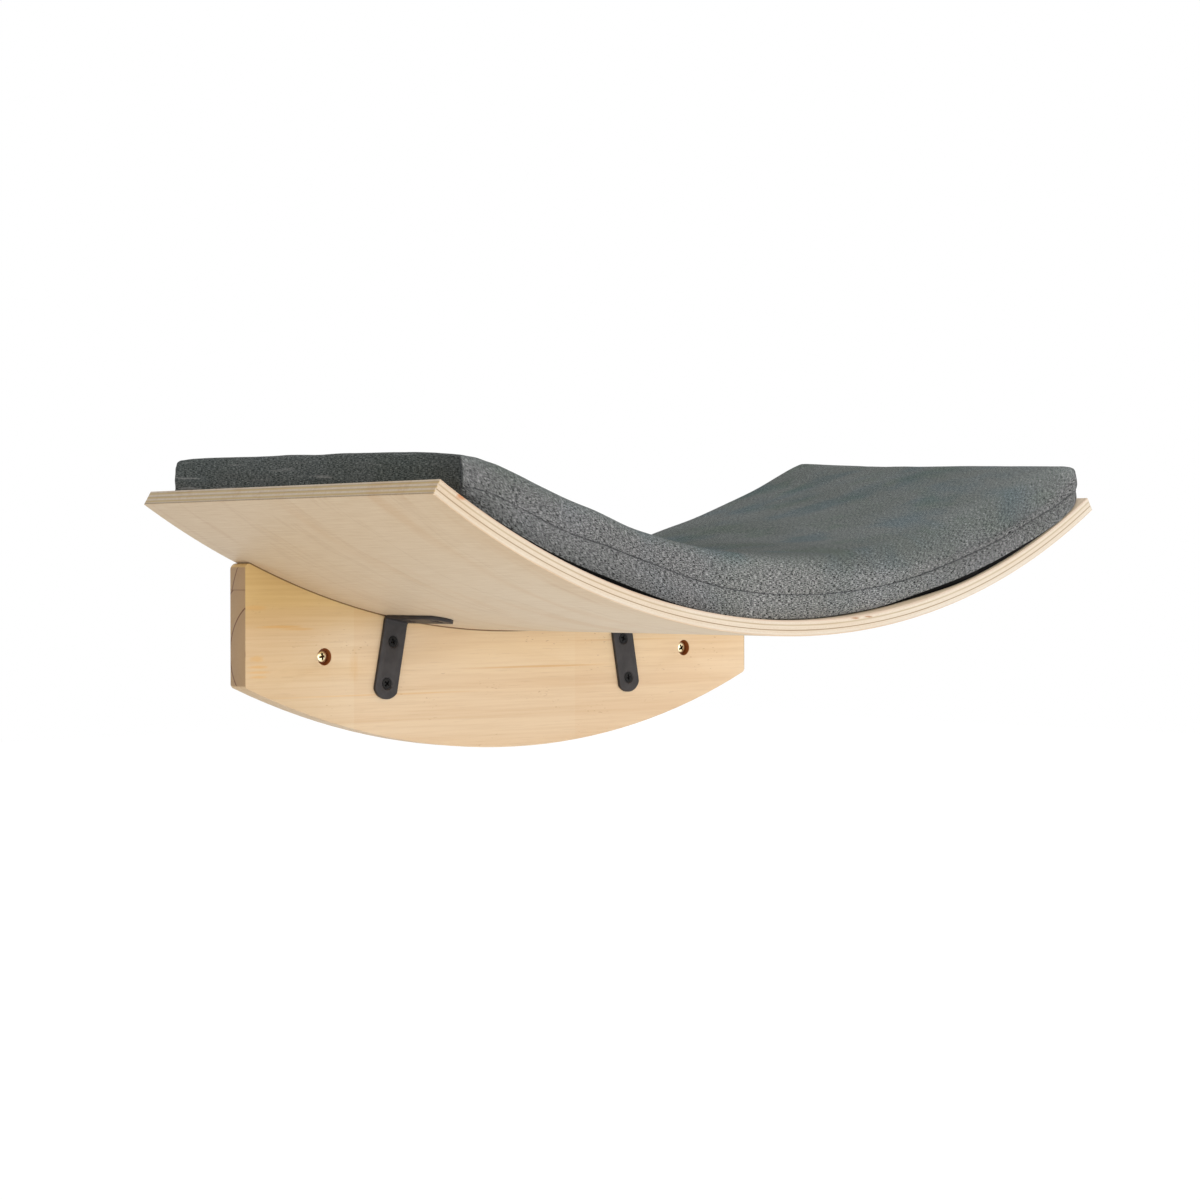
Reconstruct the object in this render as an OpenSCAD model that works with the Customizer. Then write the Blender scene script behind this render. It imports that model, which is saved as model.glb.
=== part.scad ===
// Curved wall shelf for a cat: a bent plywood seat on a pine wall board, two angle brackets
// with their screws, and a cushion that lifts off its hook tapes. Millimetres.
// Origin midway between the two wall screws, on the wall: +X along the wall, +Y into the wall,
// +Z up. Distances called out are measured from the wall into the room, against +Y.

/* [Shelf] */
// Length between the two lower corners of the bent shelf
shelf_len = 500; // [490:2:540]
// Depth from the wall to the front edge
shelf_depth = 250; // [230:2:300]
// Thickness of the bent plywood
shelf_t = 8.5; // [8:0.5:12]
// Radius of the underside of the bend
bend_r = 475; // [440:5:600]

/* [Wall board] */
// Length of the wall board
board_len = 388; // [340:2:420]
// Height of the wall board at its middle
board_h = 69.5; // [66:0.5:90]
// Thickness of the wall board
board_t = 14; // [14:0.5:20]
// Radius of the wall board's lower edge
board_low_r = 485; // [440:5:600]
// Rounding of the wall board's four corners
board_ease_r = 4; // [2:0.5:6]
// Drop from the lowest point of the shelf's underside to the wall screws
screw_drop = 13; // [11:0.5:20]

/* [Wall screws] */
// Distance between the two wall screws
wall_screw_pitch = 280; // [250:2:310]
// Radius of a wall screw's thread, which starts at the wall board's back
wall_screw_r = 1.75; // [1.5:0.25:2]
// Radius of a wall screw's plain shank, inside the wall board
wall_shank_r = 1.4; // [1.2:0.1:1.4]
// Length of a wall screw under its head
wall_screw_len = 45; // [40:1:50]
// Radius of a wall screw's head
wall_head_r = 3.4; // [3.2:0.1:4]
// Height of a wall screw's head
wall_head_h = 2.4; // [2:0.2:2.8]
// Radius of the counterbore in the wall board
sink_r = 4.9; // [4.6:0.1:6]
// Depth of the counterbore in the wall board
sink_depth = 4.4; // [4:0.2:6.4]

/* [Brackets] */
// Distance along X between the brackets' centre lines, at the shelf's underside
bracket_pitch = 174; // [140:2:200]
// How far right of the shelf's middle the pair of brackets sits
bracket_shift = -2.8; // [-4:0.2:4]
// Width of a bracket's steel
bracket_w = 16; // [14:1:20]
// Thickness of a bracket's steel
bracket_t = 2; // [1.5:0.25:3]
// Length of the leg that runs down the wall board
leg_down = 47.5; // [46:0.5:54]
// Length of the leg that runs out under the shelf
leg_out = 48; // [46:0.5:70]
// Distance from a bracket's corner to its near hole
hole_near = 14; // [12:0.5:18]
// Distance from a bracket's corner to its far hole
hole_far = 38.5; // [32:0.5:39]

/* [Bracket screws] */
// Radius of a bracket screw's shank
screw_r = 1.75; // [1.5:0.05:2]
// Radius of a bracket screw's countersunk head
screw_head_r = 3.2; // [2.9:0.1:3.5]
// Radius of a countersink at the face of the steel
sinker_r = 3.85; // [3.65:0.05:4.4]
// Length of a screw into the wall board, with its head
board_screw_len = 12; // [9:0.5:13]
// Length of a screw into the plywood, with its head
shelf_screw_len = 9; // [7:0.5:9]

/* [Cushion] */
// Length of the cushion halfway between its front and back sides, measured along it
cushion_len = 496; // [430:1:500]
// How far right of the shelf's middle the cushion lies, measured along the bend
cushion_shift = 9; // [-9:1:9]
// How much further out each end of the cushion is at the wall than at the front
cushion_splay = 7; // [0:1:8]
// Depth of the cushion
cushion_depth = 234; // [200:2:240]
// Set-back of the cushion's front side from the shelf's front edge
cushion_setback = 6; // [3:0.5:6]
// Thickness of the cushion along the middle of its long sides
cushion_t = 33; // [30:1:42]
// Thickness of the cushion at its two ends
cushion_end_t = 21; // [18:0.5:26]
// Rise of the middle of the cushion's top over its long edges
cushion_crown = 3; // [1:0.5:6]
// Thickness of the cover's cloth and its lining
cover_t = 1.6; // [1.4:0.1:2.4]

/* [Hook and loop tapes] */
// Distance along the bend from the middle of the shelf to each tape
tape_place = 177; // [120:1:190]
// Width of the hook and loop tapes
tape_w = 25; // [16:1:30]
// Length of the hook and loop tapes, across the shelf
tape_len = 200; // [120:2:210]
// Thickness of one tape
tape_t = 1.2; // [0.8:0.1:1.6]

/* [Zip] */
// Height of the zip over the plywood, along the cushion's back side
zip_rise = 16; // [14:0.5:18]
// Width of the zip's tape that shows
zip_tape_w = 13; // [12:0.5:15]
// Width of the zip's coil
coil_w = 5; // [4:0.5:6]
// Half the angle of the bend that the zip covers
zip_half_angle = 25; // [16:1:26]
// Length of the zip's slider
slider_len = 10; // [8:0.5:12]
// Length of the zip's pull tab
pull_len = 20; // [14:1:26]

/* [Hidden] */

// Sides of the shelf, as seen from the room
left = -1;
right = 1;

// Overrun of every cut, and the gaps between pieces
over = 1;
screw_gap = 0.05;
soft_gap = 0.3;
zip_gap = 0.25;

// Smoothness of the long bends, and of the small round pieces
bend_fn = 360;
small_fn = 48;

// The bend: its axis runs out from the wall at this height
axis_z = screw_drop + bend_r;
seat_r = bend_r - shelf_t;
half_turn = asin(shelf_len / 2 / bend_r);

// The wall board's lower edge
board_low_z = screw_drop - board_h;
low_axis_z = board_low_z + board_low_r;
half_board = board_len / 2;
board_top_z = axis_z - sqrt(bend_r * bend_r - half_board * half_board);
// How far a corner's rounding reaches past the faces beside it, so that it crosses them cleanly
ease_lap = 0.15;
ease_in = board_ease_r - ease_lap;

// Brackets: outer radius of the bend, and how much the leg ends are flatter than half circles
bracket_bend_r = 1.5 * bracket_t;
leg_flat = 1;
leg_end_r = bracket_w / 2 + leg_flat;

// Screws: how deep the head lies in its countersink, its rim, cross recess and point
head_sink = sinker_r - screw_head_r - 2 * screw_gap;
head_rim = 0.3;
recess_arm = 3.8;
recess_w = 0.9;
recess_depth = 1.4;
point_len = 3;
point_r = 0.4;
wall_recess_arm = 4.4;
wall_recess_depth = 1.7;
wall_head_rim = 1.2;

// Cushion: where it lies between wall and front edge
half_long = cushion_len / 2;
half_deep = cushion_depth / 2;
cushion_back = shelf_depth - cushion_setback - cushion_depth;
cushion_mid = cushion_back + half_deep;
// How fast the cushion thins towards its ends
end_fall = 25;
// Height of the sewn seam in the middle, and how far it leans, bows and drops towards the ends
seam_rise = 13.2;
seam_lean = 4;
seam_bow = 2;
seam_end_drop = 3;
seam_end_fall = 12;
// Roundings, bulge and seam of the sides
end_round = 5;
top_round = 8;
low_round = 3;
side_bulge = 1.4;
side_draw = 1.5;
end_draw = 2;
seam_depth = 1.5;
seam_w = 1.2;
draw_power = 6;
// The cushion's base clears the tapes over this much past their edges, then falls to the seat
tape_clear = 15;
tape_fall = 36;
tape_lift = 2 * tape_t + 2 * soft_gap;
foam_gap = 0.3;

// Points of the cushion: steps along it, round an end, up a wall, round an edge, over the top
outer_detail = [24, 4, 2, 3, 5];
inner_detail = [13, 2, 1, 1, 3];

// Hook and loop tapes, as radii of the bend
hook_low_r = seat_r - soft_gap;
loop_low_r = hook_low_r - tape_t - soft_gap;

// Zip: radius of its middle line, and its layers outward from the cushion's back side
zip_r = seat_r - zip_rise;
zip_cloth_t = 0.6;
coil_t = 1.6;
zip_low = cushion_back - soft_gap - zip_cloth_t;
stop_len = 2.5;
stop_over = 0.5;
// Slider: plate, side walls, and the bridge that carries the pull
plate_t = 1;
slider_w = coil_w + 4;
slider_tail_w = coil_w + 3;
bridge_len = 6.2;
bridge_w = 1.6;
bridge_rise = 1.5;
bridge_t = 0.8;
pull_pin_r = 0.5;
pull_w = 5.4;
arm_w = 1.2;
pull_t = 2 * pull_pin_r;
tab_start = 4;
tab_round = 1.6;
slider_turn = zip_half_angle - (stop_len + slider_len / 2 + zip_gap) / zip_r * 180 / PI;

// Turns a piece from the middle of the shelf to a place on the bend
module on_bend(turn) {
    translate([0, 0, axis_z]) rotate([0, -turn, 0]) translate([0, 0, -axis_z]) children();
}

// Sweeps an outline of radius and distance out from the wall, between two angles of the bend
module along_bend(from_turn, to_turn) {
    translate([0, 0, axis_z]) rotate([90, 0, 0]) rotate([0, 0, 270 + from_turn])
        rotate_extrude(angle = to_turn - from_turn, $fn = bend_fn) children();
}

// A rectangle between two radii and two distances out from the wall
module band(low_r, high_r, low_out, high_out) {
    translate([low_r, low_out]) square([high_r - low_r, high_out - low_out]);
}

// The place of a bracket on the bend
function bracket_turn(side) = asin((side * bracket_pitch / 2 + bracket_shift) / bend_r);

// Moves to a bracket's corner: X along the bend, -Y out from the wall board, -Z down
module at_bracket(side) {
    on_bend(bracket_turn(side)) translate([0, -board_t, screw_drop]) children();
}

// Puts a screw, drawn down from its head's rim, through the leg on the wall board
module through_down_leg(place) {
    translate([0, -bracket_t, -place]) rotate([-90, 0, 0]) rotate([180, 0, 0]) children();
}

// Puts a screw, drawn down from its head's rim, up through the leg under the shelf
module through_out_leg(place) {
    translate([0, -place, -bracket_t]) rotate([180, 0, 0]) children();
}

// Cuts the cross recess, from a head's top downward
module cross_recess(arm, depth) {
    for (turn = [0, 90]) {
        rotate([0, 0, turn]) translate([-arm / 2, -recess_w / 2, -depth])
            cube([arm, recess_w, depth + over]);
    }
}

// The wall board's outline in X and Z, with eased corners
module board_outline() {
    difference() {
        intersection() {
            translate([0, low_axis_z]) circle(r = board_low_r, $fn = bend_fn);
            translate([-half_board, board_low_z])
                square([board_len, board_top_z - board_low_z]);
        }
        translate([0, axis_z]) circle(r = bend_r, $fn = bend_fn);
        for (side = [left, right]) {
            mirror([side == left ? 1 : 0, 0]) {
                eased_corner(low_axis_z, board_low_r - ease_in, 1);
                eased_corner(axis_z, bend_r + ease_in, -1);
            }
        }
    }
}

// What an eased corner takes off, beside an arc of the given centre height. The rounding's own
// centre lies at the given radius from there, and way is 1 on the outside of the arc.
module eased_corner(centre_z, radius, way) {
    x = half_board - ease_in;
    z = centre_z - sqrt(radius * radius - x * x);
    lean = asin(x / radius);
    reach = 3 * board_ease_r;
    tip = way * reach * [sin(lean), -cos(lean)];
    translate([x, z]) difference() {
        polygon([[0, 0], tip, [reach, tip[1]], [reach, 0]]);
        circle(r = board_ease_r, $fn = small_fn);
    }
}

// A pilot hole for a bracket screw with its countersink, from the leg's outer face downward
module pilot_hole(len) {
    cone_h = sinker_r - screw_r - screw_gap;
    translate([0, 0, -len]) cylinder(r = screw_r + screw_gap, h = len, $fn = small_fn);
    translate([0, 0, -cone_h])
        cylinder(r1 = screw_r + screw_gap, r2 = sinker_r, h = cone_h, $fn = small_fn);
}

// The holes of the bracket screws, in whatever they are taken from
module bracket_screw_holes() {
    for (side = [left, right], place = [hole_near, hole_far]) {
        at_bracket(side) {
            through_down_leg(place) pilot_hole(board_screw_len);
            through_out_leg(place) pilot_hole(shelf_screw_len);
        }
    }
}

module wall_board() {
    color([0.87, 0.75, 0.62]) difference() {
        rotate([90, 0, 0]) linear_extrude(board_t) board_outline();
        bracket_screw_holes();
        for (side = [left, right]) {
            translate([side * wall_screw_pitch / 2, over, 0]) rotate([90, 0, 0]) {
                cylinder(r = wall_screw_r + screw_gap, h = board_t + 2 * over, $fn = small_fn);
                translate([0, 0, over + board_t - sink_depth])
                    cylinder(r = sink_r, h = sink_depth + over, $fn = small_fn);
            }
        }
    }
}

module shelf_board() {
    color([0.84, 0.77, 0.67]) difference() {
        along_bend(-half_turn, half_turn) band(seat_r, bend_r, 0, shelf_depth);
        bracket_screw_holes();
    }
}

// One leg of a bracket, flat on Z and running along X from the bend to its rounded end
module bracket_leg(leg_len) {
    straight = leg_len - leg_end_r;
    linear_extrude(bracket_t) intersection() {
        translate([bracket_bend_r, -bracket_w / 2]) square([leg_len, bracket_w]);
        union() {
            translate([bracket_bend_r, -bracket_w / 2])
                square([straight - bracket_bend_r, bracket_w]);
            translate([straight, 0]) circle(r = leg_end_r, $fn = small_fn);
        }
    }
}

module bracket(side) {
    color([0.2, 0.19, 0.19]) at_bracket(side) difference() {
        union() {
            // leg under the shelf, leg down the board, and the bend between them
            mirror([0, 0, 1]) rotate([0, 0, -90]) bracket_leg(leg_out);
            rotate([90, 0, 0]) rotate([0, 0, -90]) bracket_leg(leg_down);
            translate([0, -bracket_bend_r, -bracket_bend_r]) rotate([0, 90, 0])
                linear_extrude(bracket_w, center = true) intersection() {
                    difference() {
                        circle(r = bracket_bend_r, $fn = small_fn);
                        circle(r = bracket_bend_r - bracket_t, $fn = small_fn);
                    }
                    translate([-bracket_bend_r, 0]) square(bracket_bend_r);
                }
        }
        for (place = [hole_near, hole_far]) {
            through_down_leg(place) pilot_hole(board_screw_len);
            through_out_leg(place) pilot_hole(shelf_screw_len);
        }
    }
}

// A countersunk screw, downward from its head's rim
module countersunk_screw(len) {
    cone_h = screw_head_r - screw_r;
    difference() {
        union() {
            cylinder(r = screw_head_r, h = head_rim, $fn = small_fn);
            translate([0, 0, -cone_h])
                cylinder(r1 = screw_r, r2 = screw_head_r, h = cone_h, $fn = small_fn);
            translate([0, 0, -(len - point_len)])
                cylinder(r = screw_r, h = len - point_len - cone_h, $fn = small_fn);
            translate([0, 0, -len]) cylinder(r1 = point_r, r2 = screw_r, h = point_len, $fn = small_fn);
        }
        translate([0, 0, head_rim]) cross_recess(recess_arm, recess_depth);
    }
}

module board_screw(side, place) {
    color([0.12, 0.12, 0.12]) at_bracket(side) through_down_leg(place)
        translate([0, 0, -head_sink]) countersunk_screw(board_screw_len - head_sink);
}

module shelf_screw(side, place) {
    color([0.12, 0.12, 0.12]) at_bracket(side) through_out_leg(place)
        translate([0, 0, -head_sink]) countersunk_screw(shelf_screw_len - head_sink);
}

module wall_screw(side) {
    plain_len = board_t - sink_depth;
    color([0.82, 0.66, 0.32])
        translate([side * wall_screw_pitch / 2, sink_depth - board_t, 0]) rotate([90, 0, 0])
            difference() {
                union() {
                    cylinder(r = wall_head_r, h = wall_head_rim, $fn = small_fn);
                    translate([0, 0, wall_head_rim])
                        cylinder(r1 = wall_head_r, r2 = wall_head_r - (wall_head_h - wall_head_rim),
                            h = wall_head_h - wall_head_rim, $fn = small_fn);
                    translate([0, 0, -plain_len])
                        cylinder(r = wall_shank_r, h = plain_len, $fn = small_fn);
                    translate([0, 0, -(wall_screw_len - point_len)])
                        cylinder(r = wall_screw_r, h = wall_screw_len - point_len - plain_len,
                            $fn = small_fn);
                    translate([0, 0, -wall_screw_len])
                        cylinder(r1 = point_r, r2 = wall_screw_r, h = point_len, $fn = small_fn);
                }
                translate([0, 0, wall_head_h]) cross_recess(wall_recess_arm, wall_recess_depth);
            }
}

// A tape across the shelf, between two radii of the bend
module tape_strip(side, low_r, high_r) {
    reach = tape_w / 2 / seat_r * 180 / PI;
    middle = side * tape_place / seat_r * 180 / PI;
    along_bend(middle - reach, middle + reach)
        band(low_r, high_r, cushion_mid - tape_len / 2, cushion_mid + tape_len / 2);
}

module hook_strip(side) {
    color([0.06, 0.06, 0.06]) tape_strip(side, hook_low_r - tape_t, hook_low_r);
}

module loop_strip(side) {
    color([0.09, 0.09, 0.1]) tape_strip(side, loop_low_r - tape_t, loop_low_r);
}

// How far the cushion's base stands off the seat, at a distance along the bend
function tape_rise(s) =
    let (past = abs(abs(s) - tape_place) - tape_w / 2 - tape_clear)
    let (u = max(0, min(1, past / tape_fall)))
    tape_lift * (1 - u * u * (3 - 2 * u));

function base_at(s) = soft_gap + tape_rise(s + cushion_shift);
function top_at(s) =
    cushion_t - (cushion_t - cushion_end_t) * exp(-(half_long - abs(s)) / end_fall);
function seam_at(s) =
    let (t = s / half_long)
    seam_rise - seam_lean * t - seam_bow * t * t
        - seam_end_drop * exp(-(half_long - abs(s)) / seam_end_fall);

// Half outline of the cushion at a distance along it: pairs of distance from the middle and
// height, from the base's edge up the side to the top's edge. Front is 1 at the sewn front side.
function side_points(s, inset, front, detail) =
    let (deep = half_deep - inset - front * side_draw * (1 - pow(s / half_long, 2)))
    let (low = base_at(s) + inset * 0.5, high = top_at(s) - inset, seam = seam_at(s))
    let (foot = min(low_round, (seam - seam_w - low) / 2), top_r = top_round)
    let (walls = detail[2], rounds = detail[3], groove = inset > 0 ? 0 : front)
    concat(
        [for (k = [0:2]) [deep - foot * (1 - sin(45 * k)), low + foot * (1 - cos(45 * k))]],
        groove == 0 ? [] : [
            [deep + side_bulge / 2, (low + foot + seam - seam_w) / 2],
            [deep + side_bulge / 3, seam - seam_w],
            [deep - seam_depth, seam],
            [deep + side_bulge / 3, seam + seam_w]
        ],
        [for (k = [1:walls]) let (t = k / (walls + 1), foot_z = groove == 0 ? low + foot : seam)
            [deep + groove * side_bulge * sin(180 * t), foot_z + (high - top_r - foot_z) * t]],
        [for (k = [0:rounds]) let (q = 90 * k / rounds)
            [deep - top_r * (1 - cos(q)), high - top_r * (1 - sin(q))]]
    );

// Whole outline of the cushion at a distance along it, front side first
function ring_points(s, inset, detail) =
    let (front_side = side_points(s, inset, 1, detail), back_side = side_points(s, inset, 0, detail))
    let (n = detail[4], wide = half_deep - top_round - inset, high = top_at(s) - inset)
    let (crown = cushion_crown * (top_at(s) - cushion_end_t) / (cushion_t - cushion_end_t))
    concat(
        front_side,
        [for (k = [1:n - 1]) let (v = 1 - 2 * k / n) [wide * v, high + crown * (1 - v * v)]],
        [for (k = [len(back_side) - 1:-1:0]) [-back_side[k][0], back_side[k][1]]]
    );

// A point of the cushion in space. Its top and base are equally long, so both ends lean out.
function bent_point(s, deep, rise) =
    let (drawn = end_draw * (1 - pow(deep / half_deep, 2)) * pow(abs(s) / half_long, draw_power))
    let (splayed = s * (1 - cushion_splay * deep / cushion_depth / half_long))
    let (r = seat_r - rise, turn = (splayed - sign(s) * drawn + cushion_shift) / r * 180 / PI)
    [r * sin(turn), -(cushion_mid + deep), axis_z - r * cos(turn)];

// Places along the cushion with how far its outline is drawn in there, to round the two ends
function stations(inset, detail) =
    let (rounds = detail[1], steps = detail[0], long = half_long - inset, flat = long - end_round)
    let (ends = [for (k = [0:rounds - 1]) let (q = 90 * k / rounds)
        [long - end_round * (1 - cos(q)), end_round * (1 - sin(q))]])
    concat(
        [for (k = [0:rounds - 1]) [-ends[k][0], ends[k][1]]],
        [for (k = [0:steps]) [flat * (2 * k / steps - 1), 0]],
        [for (k = [rounds - 1:-1:0]) ends[k]]
    );

// Draws an outline in towards the middle of the end face
function drawn_in(points, by, middle, half) =
    [for (p = points) [p[0] * (1 - by / half_deep), middle + (p[1] - middle) * (1 - by / half)]];

// The cushion as one closed form, inset from its outer face
module pad(inset, detail) {
    places = stations(inset, detail);
    half_end = cushion_end_t / 2;
    rings = [for (place = places)
        drawn_in(ring_points(place[0], inset, detail), place[1], half_end, half_end)];
    n = len(rings[0]);
    count = len(rings);
    middles = [for (k = [0, count - 1]) bent_point(places[k][0], 0, half_end)];
    points = concat([for (k = [0:count - 1]) each
        [for (p = rings[k]) bent_point(places[k][0], p[0], p[1])]], middles);
    sides = [for (k = [0:count - 2], i = [0:n - 1]) each
        let (a = k * n + i, b = k * n + (i + 1) % n) [[a, b, b + n], [a, b + n, a + n]]];
    ends = [for (i = [0:n - 1]) each [
        [count * n, (i + 1) % n, i],
        [count * n + 1, (count - 1) * n + i, (count - 1) * n + (i + 1) % n]]];
    polyhedron(points = points, faces = concat(sides, ends), convexity = 6);
}

module cushion_cover() {
    color([0.36, 0.38, 0.39]) difference() {
        pad(0, outer_detail);
        pad(cover_t, inner_detail);
    }
}

module cushion_foam() {
    color([0.93, 0.9, 0.8]) pad(cover_t + foam_gap, inner_detail);
}

// The zip's tape and coil along the back side, with a stop at each end of the coil
module zip_chain() {
    stop_turn = stop_len / zip_r * 180 / PI;
    color([0.14, 0.14, 0.15]) union() {
        along_bend(-zip_half_angle, zip_half_angle) {
            band(zip_r - zip_tape_w / 2, zip_r + zip_tape_w / 2, zip_low, zip_low + zip_cloth_t);
            band(zip_r - coil_w / 2, zip_r + coil_w / 2, zip_low - coil_t, zip_low);
        }
        for (side = [left, right]) {
            along_bend(min(side * zip_half_angle, side * (zip_half_angle - stop_turn)),
                max(side * zip_half_angle, side * (zip_half_angle - stop_turn)))
                band(zip_r - coil_w / 2 - stop_over, zip_r + coil_w / 2 + stop_over,
                    zip_low - coil_t - stop_over, zip_low);
        }
    }
}

// Moves to the slider's rest place: X along the zip, +Y from the tape towards the wall
module at_slider() {
    on_bend(slider_turn) translate([0, -zip_low, axis_z - zip_r]) children();
}

// A plate flat on Y, from a plan in X and Z, between two distances from the tape
module zip_plate(low_y, high_y) {
    translate([0, high_y, 0]) rotate([90, 0, 0]) linear_extrude(high_y - low_y) children();
}

module zip_slider() {
    plate_y = coil_t + zip_gap;
    bridge_y = plate_y + plate_t + bridge_rise;
    color([0.5, 0.5, 0.5]) at_slider() union() {
        // plate, wide at the mouth and narrow at the tail
        zip_plate(plate_y, plate_y + plate_t) polygon([
            [-slider_len / 2, -slider_tail_w / 2], [slider_len / 2, -slider_w / 2],
            [slider_len / 2, slider_w / 2], [-slider_len / 2, slider_tail_w / 2]
        ]);
        // side walls on both sides of the coil
        for (side = [left, right]) {
            zip_plate(zip_gap, plate_y) polygon([
                [-slider_len / 2, side * (coil_w / 2 + zip_gap)],
                [slider_len / 2, side * (coil_w / 2 + zip_gap)],
                [slider_len / 2, side * slider_w / 2],
                [-slider_len / 2, side * slider_tail_w / 2]
            ]);
        }
        // bridge over the pull's pin
        translate([-bridge_len / 2, bridge_y, -bridge_w / 2]) cube([bridge_len, bridge_t, bridge_w]);
        for (x = [-bridge_len / 2, bridge_len / 2 - bridge_t]) {
            translate([x, plate_y + plate_t, -bridge_w / 2]) cube([bridge_t, bridge_rise, bridge_w]);
        }
    }
}

module zip_pull() {
    pin_y = coil_t + zip_gap + plate_t + bridge_rise / 2;
    arm_z = bridge_w / 2 + zip_gap;
    tab_len = pull_len - tab_start;
    color([0.5, 0.5, 0.5]) at_slider() translate([0, pin_y, 0]) union() {
        // pin under the bridge, and the arms beside it
        translate([0, 0, -arm_z - arm_w])
            cylinder(r = pull_pin_r, h = 2 * (arm_z + arm_w), $fn = small_fn);
        for (z = [-arm_z - arm_w, arm_z]) {
            translate([-tab_start, -pull_pin_r, z]) cube([tab_start, pull_t, arm_w]);
        }
        // tab with rounded outer corners
        zip_plate(-pull_pin_r, pull_pin_r) difference() {
            union() {
                translate([-pull_len + tab_round, -pull_w / 2]) square([tab_len - tab_round, pull_w]);
                translate([-pull_len, -pull_w / 2 + tab_round])
                    square([tab_round, pull_w - 2 * tab_round]);
                for (side = [left, right]) {
                    translate([-pull_len + tab_round, side * (pull_w / 2 - tab_round)])
                        circle(r = tab_round, $fn = small_fn);
                }
            }
            translate([-pull_len + tab_len / 2, 0]) circle(r = bridge_w / 2, $fn = small_fn);
        }
    }
}

wall_board();
shelf_board();
bracket(left);  // bracket_left
bracket(right);  // bracket_right
board_screw(left, hole_near);  // board_screw_left_upper
board_screw(left, hole_far);  // board_screw_left_lower
board_screw(right, hole_near);  // board_screw_right_upper
board_screw(right, hole_far);  // board_screw_right_lower
shelf_screw(left, hole_near);  // shelf_screw_left_inner
shelf_screw(left, hole_far);  // shelf_screw_left_outer
shelf_screw(right, hole_near);  // shelf_screw_right_inner
shelf_screw(right, hole_far);  // shelf_screw_right_outer
wall_screw(left);  // wall_screw_left
wall_screw(right);  // wall_screw_right
hook_strip(left);  // hook_strip_left
hook_strip(right);  // hook_strip_right
cushion_cover();
cushion_foam();
loop_strip(left);  // loop_strip_left
loop_strip(right);  // loop_strip_right
zip_chain();
zip_slider();
zip_pull();
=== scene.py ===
"""Dresses a bent plywood cat shelf: wood, steel, screws, cushion, hook and loop tapes, zip.

Everything is in metres in the part's own frame: X along the wall, Y into the wall, Z up.
"""

import logging
import math
from contextlib import contextmanager
from dataclasses import dataclass
from enum import Enum
from typing import Any, Callable, Iterator, Sequence

import bmesh
import bpy
import numpy as np
from mathutils import Matrix, Vector
from mathutils.bvhtree import BVHTree


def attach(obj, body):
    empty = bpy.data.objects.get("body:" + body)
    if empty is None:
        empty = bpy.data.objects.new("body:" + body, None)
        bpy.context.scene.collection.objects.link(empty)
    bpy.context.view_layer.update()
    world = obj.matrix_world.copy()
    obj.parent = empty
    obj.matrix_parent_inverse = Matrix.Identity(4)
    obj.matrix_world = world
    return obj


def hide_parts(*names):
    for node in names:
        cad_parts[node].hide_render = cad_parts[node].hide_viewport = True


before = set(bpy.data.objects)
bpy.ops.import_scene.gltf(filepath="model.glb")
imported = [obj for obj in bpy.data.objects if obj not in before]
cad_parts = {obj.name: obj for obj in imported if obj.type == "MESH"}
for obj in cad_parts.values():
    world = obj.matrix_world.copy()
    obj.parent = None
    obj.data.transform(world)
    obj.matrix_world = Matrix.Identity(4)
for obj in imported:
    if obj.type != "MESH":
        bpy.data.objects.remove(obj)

LOG = logging.getLogger("cat_shelf")
MM = 0.001
Socket = bpy.types.NodeSocket
Piece = bpy.types.Object
Material = bpy.types.Material
Mesh = bpy.types.Mesh
Node = bpy.types.Node
Tree = bpy.types.NodeTree
Array = np.ndarray
Pair = tuple[float, float]
Point = tuple[float, float, float]
Colour = tuple[float, float, float, float]
Faces = list[tuple[int, ...]]
Shape = tuple[list[Point], Faces]


def tone(red: float, green: float, blue: float) -> Colour:
    """Turns a colour as seen on a screen into the linear one that a shader takes.

    Args:
        red: Red from 0 to 255.
        green: Green from 0 to 255.
        blue: Blue from 0 to 255.

    Returns:
        The linear colour with full alpha.
    """

    def linear(value: float) -> float:
        """One channel, from 0 to 255, made linear."""
        v = value / 255.0
        return v / 12.92 if v <= 0.04045 else ((v + 0.055) / 1.055) ** 2.4

    return (linear(red), linear(green), linear(blue), 1.0)


# sizes shared by the pieces


@dataclass(frozen=True)
class Bend:
    """The curve that the plywood is pressed to, and that all else follows.

    Radii run from an axis that is level and square to the wall.
    """

    axis_height: float = 0.488
    seat_radius: float = 0.4665
    under_radius: float = 0.475
    depth: float = 0.250
    half_length: float = 0.250

    @property
    def half_turn(self) -> float:
        """Half the angle that the plywood covers, in radians."""
        return math.asin(self.half_length / self.under_radius)


class Side(Enum):
    """The two ends of the shelf, as seen from the room."""

    LEFT = -1
    RIGHT = 1


# node trees and meshes


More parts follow.
